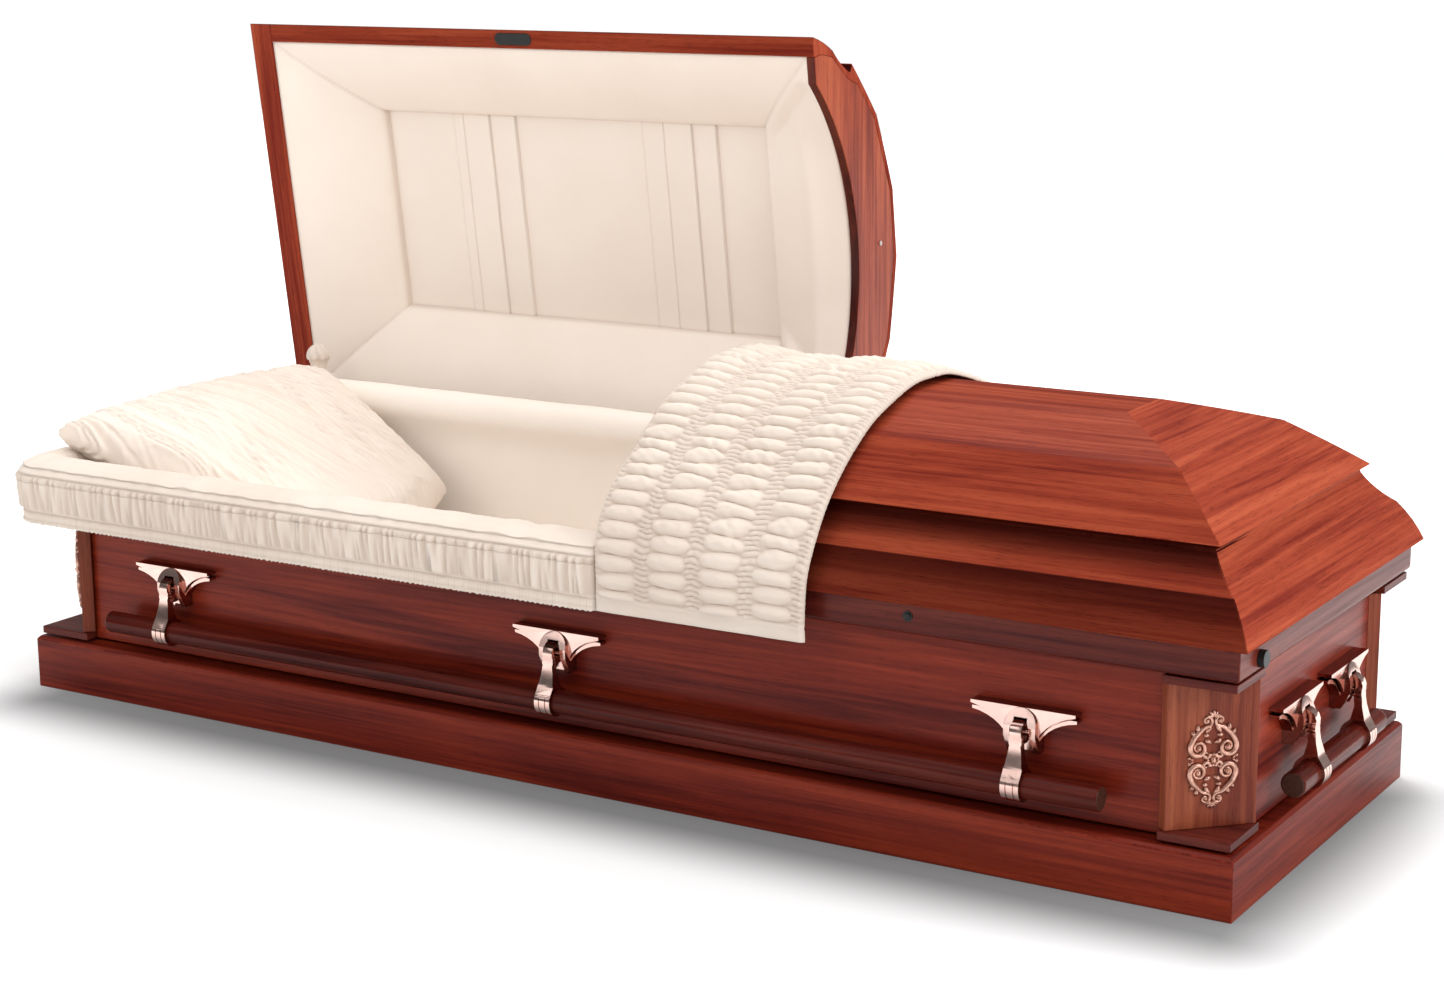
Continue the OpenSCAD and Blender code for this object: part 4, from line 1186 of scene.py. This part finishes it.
roll_points, roll_crease = border_surface(fine(roll_section, 0.0032))
apron_points, apron_crease = border_surface(fine(apron_section, 0.0030))
border_roll = grid_piece("border_roll", roll_points, throw_crepe, "root", ["extendover"],
                         0.0010, flip=True, crease=roll_crease)
border_apron = grid_piece("border_apron", apron_points, crepe, "root", ["extendover"],
                          0.0010, flip=True, crease=apron_crease)
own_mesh(border_roll)
print("border pieces", roll_points.shape, apron_points.shape)


# %% Stitches of the border
def stitch_line(points, height):
    """the border's own surface line that is nearest to a height, lifted half a thread."""
    line = points[np.abs(points[..., 2].mean(1) - height).argmin()].copy()
    line[:, :2] += outward * 0.0005
    return line[::2]


upper_stitches = seam("border_top_stitches", [stitch_line(roll_points, STITCH_Z)], "root")
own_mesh(upper_stitches)
seam("border_band_stitches", [stitch_line(apron_points, BAND_Z - 0.002),
                              stitch_line(apron_points, HEM_Z)], "root")

# %% [markdown]
# ## The quilt over the foot lid
#
# A smocked throw hangs over the foot lid from the division. Its cloth is puffed in columns of
# lens-shaped pads, set half a row apart in alternate columns, and between the columns it is
# gathered in fine ridges. The throw follows the lid's outline over the top, so one line across
# the lid is swept along the lid's length, and the puffs push it outwards.

# %% Line of the quilt over the lid
low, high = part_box("quilt")
THROW_X0, THROW_WIDE = low.x, high.x - low.x
LID_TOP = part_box("foot_lid")[1].z
HANG = [(-LID_HALF - 0.018, low.z + 0.0005), (-LID_HALF - 0.0175, 0.33), (-LID_HALF - 0.015, 0.385),
        (-LID_HALF + 0.022, 0.446), (-LID_HALF + 0.066, 0.4835), (-LID_HALF + 0.12, 0.523),
        (-LID_HALF + 0.168, 0.5525), (-LID_HALF + 0.225, 0.570),
        (-LID_HALF + 0.29, LID_TOP + 0.0125), (0, LID_TOP + 0.014),
        (LID_HALF - 0.285, LID_TOP + 0.0125), (LID_HALF - 0.15, 0.549), (0.218, 0.528),
        (0.236, 0.5155)]
hang_line, hang_at = through(HANG, 396)
S, U = np.meshgrid(hang_at, np.linspace(0, 1, 122) * THROW_WIDE, indexing="ij")
base = np.stack([THROW_X0 + U, hang_line[:, :1] + 0 * U, hang_line[:, 1:] + 0 * U], -1)
print("throw", round(float(hang_at[-1]), 3), "m long over the lid, grid", base.shape[:2])

# %% Puffs and gathers of the quilt
ROW_PITCH, COLUMN_PITCH, FIRST_COLUMN, PUFF_HALF = 0.0235, 0.0835, 0.038, 0.033
PUFF_HIGH, GATHER_HIGH = 0.0082, 0.0046


def puffs(s, u):
    """how far the cloth is lifted, and how deep it lies in a fold. s runs down the hang."""
    u = u + 0.0035 * waves(s, 0.21, 61) + 0.0015 * waves(s, 0.05, 62)
    column = np.round((u - FIRST_COLUMN) / COLUMN_PITCH)
    from_middle = u - FIRST_COLUMN - column * COLUMN_PITCH
    across_puff = np.clip(1 - np.abs(from_middle / PUFF_HALF) ** 2.2, 0, 1)
    row = (s + 0.0022 * waves(u + 2 * s, 0.11, 63)) / ROW_PITCH + 0.5 * (column % 2)
    in_row = np.abs(row - np.round(row)) * 2
    lens = 0.30 + 0.70 * across_puff ** 0.6
    pad = np.clip(1 - (in_row / lens) ** 2, 0, 1) ** 0.8 * across_puff ** 0.6
    fine_rows = s / (ROW_PITCH / 3) + 0.35 * waves(u, 0.05, 64) + 0.3 * waves(s, 0.07, 65)
    ridges = np.abs(np.sin(np.pi * fine_rows)) * (0.75 + 0.25 * waves(u + s, 0.02, 66))
    share = smooth(across_puff / 0.35)
    crumple = 0.0012 * waves(u + 0.6 * s, 0.024, 90) * waves(s, 0.031, 91)
    lift = share * (PUFF_HIGH * pad + 0.0007 * ridges + crumple)
    lift = lift + (1 - share) * GATHER_HIGH * ridges
    # painted shade in the hollows round the puffs and between the gathers
    hollow = share * np.clip(1 - 1.3 * pad, 0, 1) ** 1.6 * 0.42 + (1 - share) * (1 - ridges) * 0.5
    return lift, hollow


lift, hollow = puffs(S, U)
print("puffs up to", round(float(lift.max()) * 1000, 1), "mm high")

# %% Quilt
HEM = 0.019
hem = smooth((S - HEM) / 0.006)
side_edge = smooth(U / 0.008) * smooth((THROW_WIDE - U) / 0.006)
lift = lift * (0.12 + 0.88 * hem) * (0.3 + 0.7 * side_edge) + 0.0016 * ridge_at(S - HEM, 0.003)
lift = lift + 0.0035 * waves(U + 0.3 * S, 0.26, 67) * smooth(S / 0.1)
lift = lift + 0.006 * smooth(1 - U / 0.07) * smooth((S - 0.30) / 0.15)
normals = grid_normals(base)
if normals[..., 2].mean() < 0:
    normals = -normals
rolled = smooth((U - (THROW_WIDE - 0.005)) / 0.005) + smooth((0.005 - U) / 0.005)
throw = base + normals * (lift - 0.004 * rolled)[..., None]
sway = 0.004 * waves(S, 0.33, 68) * (U / THROW_WIDE - 0.5)
throw[..., 0] += np.clip(sway, -0.004, 0.003)
throw[..., 0] = np.clip(throw[..., 0], THROW_X0 - 0.003, None)
quilt = grid_piece("smocked_throw", throw, throw_crepe, "foot_lid", ["quilt"], 0.0016,
                   crease=hollow * hem)
hem_row = np.abs(hang_at - 0.0175).argmin()
seam("throw_hem_stitches", [throw[hem_row, 2:-2] + normals[hem_row, 2:-2] * 0.0004], "foot_lid")

# %% [markdown]
# ## The pillow
#
# The pillow leans against the head end. It is a soft bag, so a cushion shape is blown up by a
# short cloth simulation, whose moves are kept small with a cap. Then its crepe cover gets long
# wrinkles that run from head to foot and spread a little, and short tucks along the seam at its
# foot end. Wrinkles come after the simulation, because its even cells would lose them.

# %% Pillow shape
PILLOW = {"front_head": (-1.022, -0.277, 0.408), "back_head": (-0.915, 0.262, 0.438),
          "front_foot": (-0.548, -0.225, 0.236), "back_foot": (-0.588, 0.212, 0.262)}


def pillow_grid(count=64, bulge=0.062, thin=0.007):
    a = np.linspace(0, 1, count)
    A, B = np.meshgrid(a, a, indexing="ij")
    corner = {k: np.array(v) for k, v in PILLOW.items()}
    flat = (corner["front_head"] * ((1 - A) * (1 - B))[..., None]
            + corner["back_head"] * ((1 - A) * B)[..., None]
            + corner["front_foot"] * (A * (1 - B))[..., None]
            + corner["back_foot"] * (A * B)[..., None])
    flat[..., 1] -= 0.006 * np.sin(np.pi * A) * (2 * B - 1) ** 3
    flat[..., 0] += np.sin(np.pi * B) * np.where(A > 0.5, 0.058, 0.014) * (2 * A - 1) ** 3
    crown = (np.sin(np.pi * A) * np.sin(np.pi * B)) ** 0.38
    top, under = flat.copy(), flat.copy()
    top[..., 2] += thin + bulge * crown + 0.014 * np.sin(np.pi * A) * (1 - A)
    under[..., 2] -= thin + 0.045 * crown
    return top, under


top, under = pillow_grid()
print("pillow about", round(float(np.linalg.norm(top[0, 0] - top[-1, 0])), 3), "m long")


# %% Pillow bag
def closed_bag(name, top, under, material):
    """two grids sewn together round their rims."""
    rows, cols = top.shape[:2]
    points = np.vstack([top.reshape(-1, 3), under.reshape(-1, 3)])
    i, j = np.meshgrid(np.arange(rows - 1), np.arange(cols - 1), indexing="ij")
    a = (i * cols + j).ravel()
    upper = np.stack([a, a + cols, a + cols + 1, a + 1], 1)
    lower = upper[:, ::-1] + rows * cols
    rim = ([k for k in range(cols)] + [k * cols + cols - 1 for k in range(1, rows)]
           + [(rows - 1) * cols + k for k in range(cols - 2, -1, -1)]
           + [k * cols for k in range(rows - 2, 0, -1)])
    n = rows * cols
    wall = [(rim[k], rim[(k + 1) % len(rim)], rim[(k + 1) % len(rim)] + n, rim[k] + n)
            for k in range(len(rim))]
    mesh = bpy.data.meshes.new(name)
    mesh.from_pydata([tuple(p) for p in points], [],
                     [tuple(int(k) for k in f) for f in np.vstack([upper, lower])] + wall)
    mesh.materials.append(material)
    fixed = bmesh.new()
    fixed.from_mesh(mesh)
    bmesh.ops.recalc_face_normals(fixed, faces=fixed.faces)
    fixed.to_mesh(mesh)
    fixed.free()
    piece = bpy.data.objects.new(name, mesh)
    scene.collection.objects.link(piece)
    return piece


pillow = closed_bag("pillow_bag", top, under, pillow_cloth_painted_light)
print("pillow bag", len(pillow.data.polygons), "faces")


# %% Pillow simulation
def evaluated_mesh(piece):
    """the piece's mesh with its modifiers applied, and the modifiers removed."""
    graph = bpy.context.evaluated_depsgraph_get()
    mesh = bpy.data.meshes.new_from_object(piece.evaluated_get(graph), depsgraph=graph)
    piece.modifiers.clear()
    piece.data = mesh
    return mesh


def blow_up(piece, voxel, cap, pressure=4.0, frames=20):
    remesh = piece.modifiers.new("even cells", "REMESH")
    remesh.mode, remesh.voxel_size = "VOXEL", voxel
    mesh = evaluated_mesh(piece)
    start = coordinates(mesh)
    cloth_sim = piece.modifiers.new("air", "CLOTH")
    cloth_sim.settings.use_pressure = True
    cloth_sim.settings.uniform_pressure_force = pressure
    cloth_sim.settings.quality = 5
    cloth_sim.settings.tension_stiffness = 12
    cloth_sim.settings.bending_stiffness = 0.6
    cloth_sim.settings.effector_weights.gravity = 0
    cloth_sim.collision_settings.use_self_collision = False
    for frame_number in range(1, frames + 1):
        scene.frame_set(frame_number)
    mesh = evaluated_mesh(piece)
    moved = coordinates(mesh) - start
    far = np.linalg.norm(moved, axis=1, keepdims=True)
    end = start + moved * np.minimum(1, cap / np.maximum(far, 1e-9))
    mesh.vertices.foreach_set("co", end.astype(np.float32).ravel())
    scene.frame_set(1)
    mesh.update()
    print(piece.name, "simulated", len(mesh.vertices))


blow_up(pillow, voxel=0.006, cap=0.012)

# %% Wrinkles of the pillow
SPREAD_FROM, WRINKLE, TUCK_HIGH = (-1.64, -0.22), 0.0052, 0.0018
wrinkler = pillow.modifiers.new("finer", "SUBSURF")
wrinkler.levels = wrinkler.render_levels = 1
mesh = evaluated_mesh(pillow)
mesh.materials.clear()
mesh.materials.append(pillow_cloth_painted_light)
mesh.shade_smooth()
points = coordinates(mesh)
normals = np.zeros(len(points) * 3, np.float32)
mesh.vertices.foreach_get("normal", normals)
normals = normals.reshape(-1, 3)
away = points[:, :2] - SPREAD_FROM
reach = np.linalg.norm(away, axis=1)
bend = 0.0035 * waves(reach, 0.21, 71)
bend = bend + 0.0012 * waves(points[:, 1] + 0.4 * points[:, 0], 0.09, 72)
across = 0.9 * (np.arctan2(away[:, 1], away[:, 0]) + bend)
broken = 0.5 + 0.9 * waves(reach + 2 * across, 0.050, 73) * waves(across + 0.3 * reach, 0.030, 74)
broken = np.clip(broken + 0.45 * smooth(1 - (reach - 0.62) / 0.30), 0.05, 1.1)
ripple = ridges_of(across, 0.0125, 75)
to_foot = smooth((points[:, 0] + 0.64 + 0.10 * np.abs(points[:, 1])) / 0.07)
corner = np.array(PILLOW["front_head"][:2])
near_corner = 0.5 * smooth(1 - np.linalg.norm(points[:, :2] - corner, axis=1) / 0.06)
tucked = np.maximum(to_foot, near_corner)
tucks = ridges_of(points[:, 1] + 0.010 * waves(points[:, 0], 0.1, 76), 0.0095, 77)
height = WRINKLE * ripple * broken * (1 - to_foot) + TUCK_HIGH * tucks * tucked
upper_side = smooth(normals[:, 2] / 0.5)
# painted shade in the valleys of the wrinkles and tucks, on the upper side only
mark_creases(mesh, upper_side * (0.50 * broken * (1 - ripple) ** 3 * (1 - to_foot)
                                 + 0.10 * (1 - tucks) * tucked))
points = points + normals * (height - 0.0015)[:, None]
mesh.vertices.foreach_set("co", points.astype(np.float32).ravel())
mesh.update()
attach(pillow, "root")
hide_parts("pillow")
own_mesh(pillow)
print("pillow box", points.min(0).round(3), points.max(0).round(3))

# %% [markdown]
# ## A tuft at the head corner
#
# The border's end is tied in a small tuft beside the pillow: a ball of cloth with folds that
# run to its middle. It is soft.

# %% Tuft
TUFT_AT, TUFT_R = np.array([-0.939, 0.2955, 0.459]), 0.0170
lat, lon = np.meshgrid(np.linspace(-0.5, 0.5, 40) * np.pi, np.linspace(0, 2 * np.pi, 73),
                       indexing="ij")
ruffles = 1 + np.cos(lat) * (0.13 * np.sin(7 * lon + 3 * lat) + 0.07 * np.sin(3 * lon + 1.3))
ruffles -= 0.22 * np.exp(-((lat + 0.45) / 0.13) ** 2)
ball = np.stack([np.cos(lat) * np.cos(lon) * 1.15, np.cos(lat) * np.sin(lon),
                 np.sin(lat) * 1.2], -1)
tuft_points = TUFT_AT + TUFT_R * ball * ruffles[..., None]
stem = smooth((-0.35 - lat) / 0.5)
tuft_points[..., 2] -= stem * 0.080
tuft_points[..., :2] += (stem * 0.5)[..., None] * (TUFT_AT[:2] - tuft_points[..., :2])
tuft = grid_piece("corner_tuft", tuft_points, crepe, "root")
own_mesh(tuft)
print("tuft", round(TUFT_R * 2000), "mm wide")
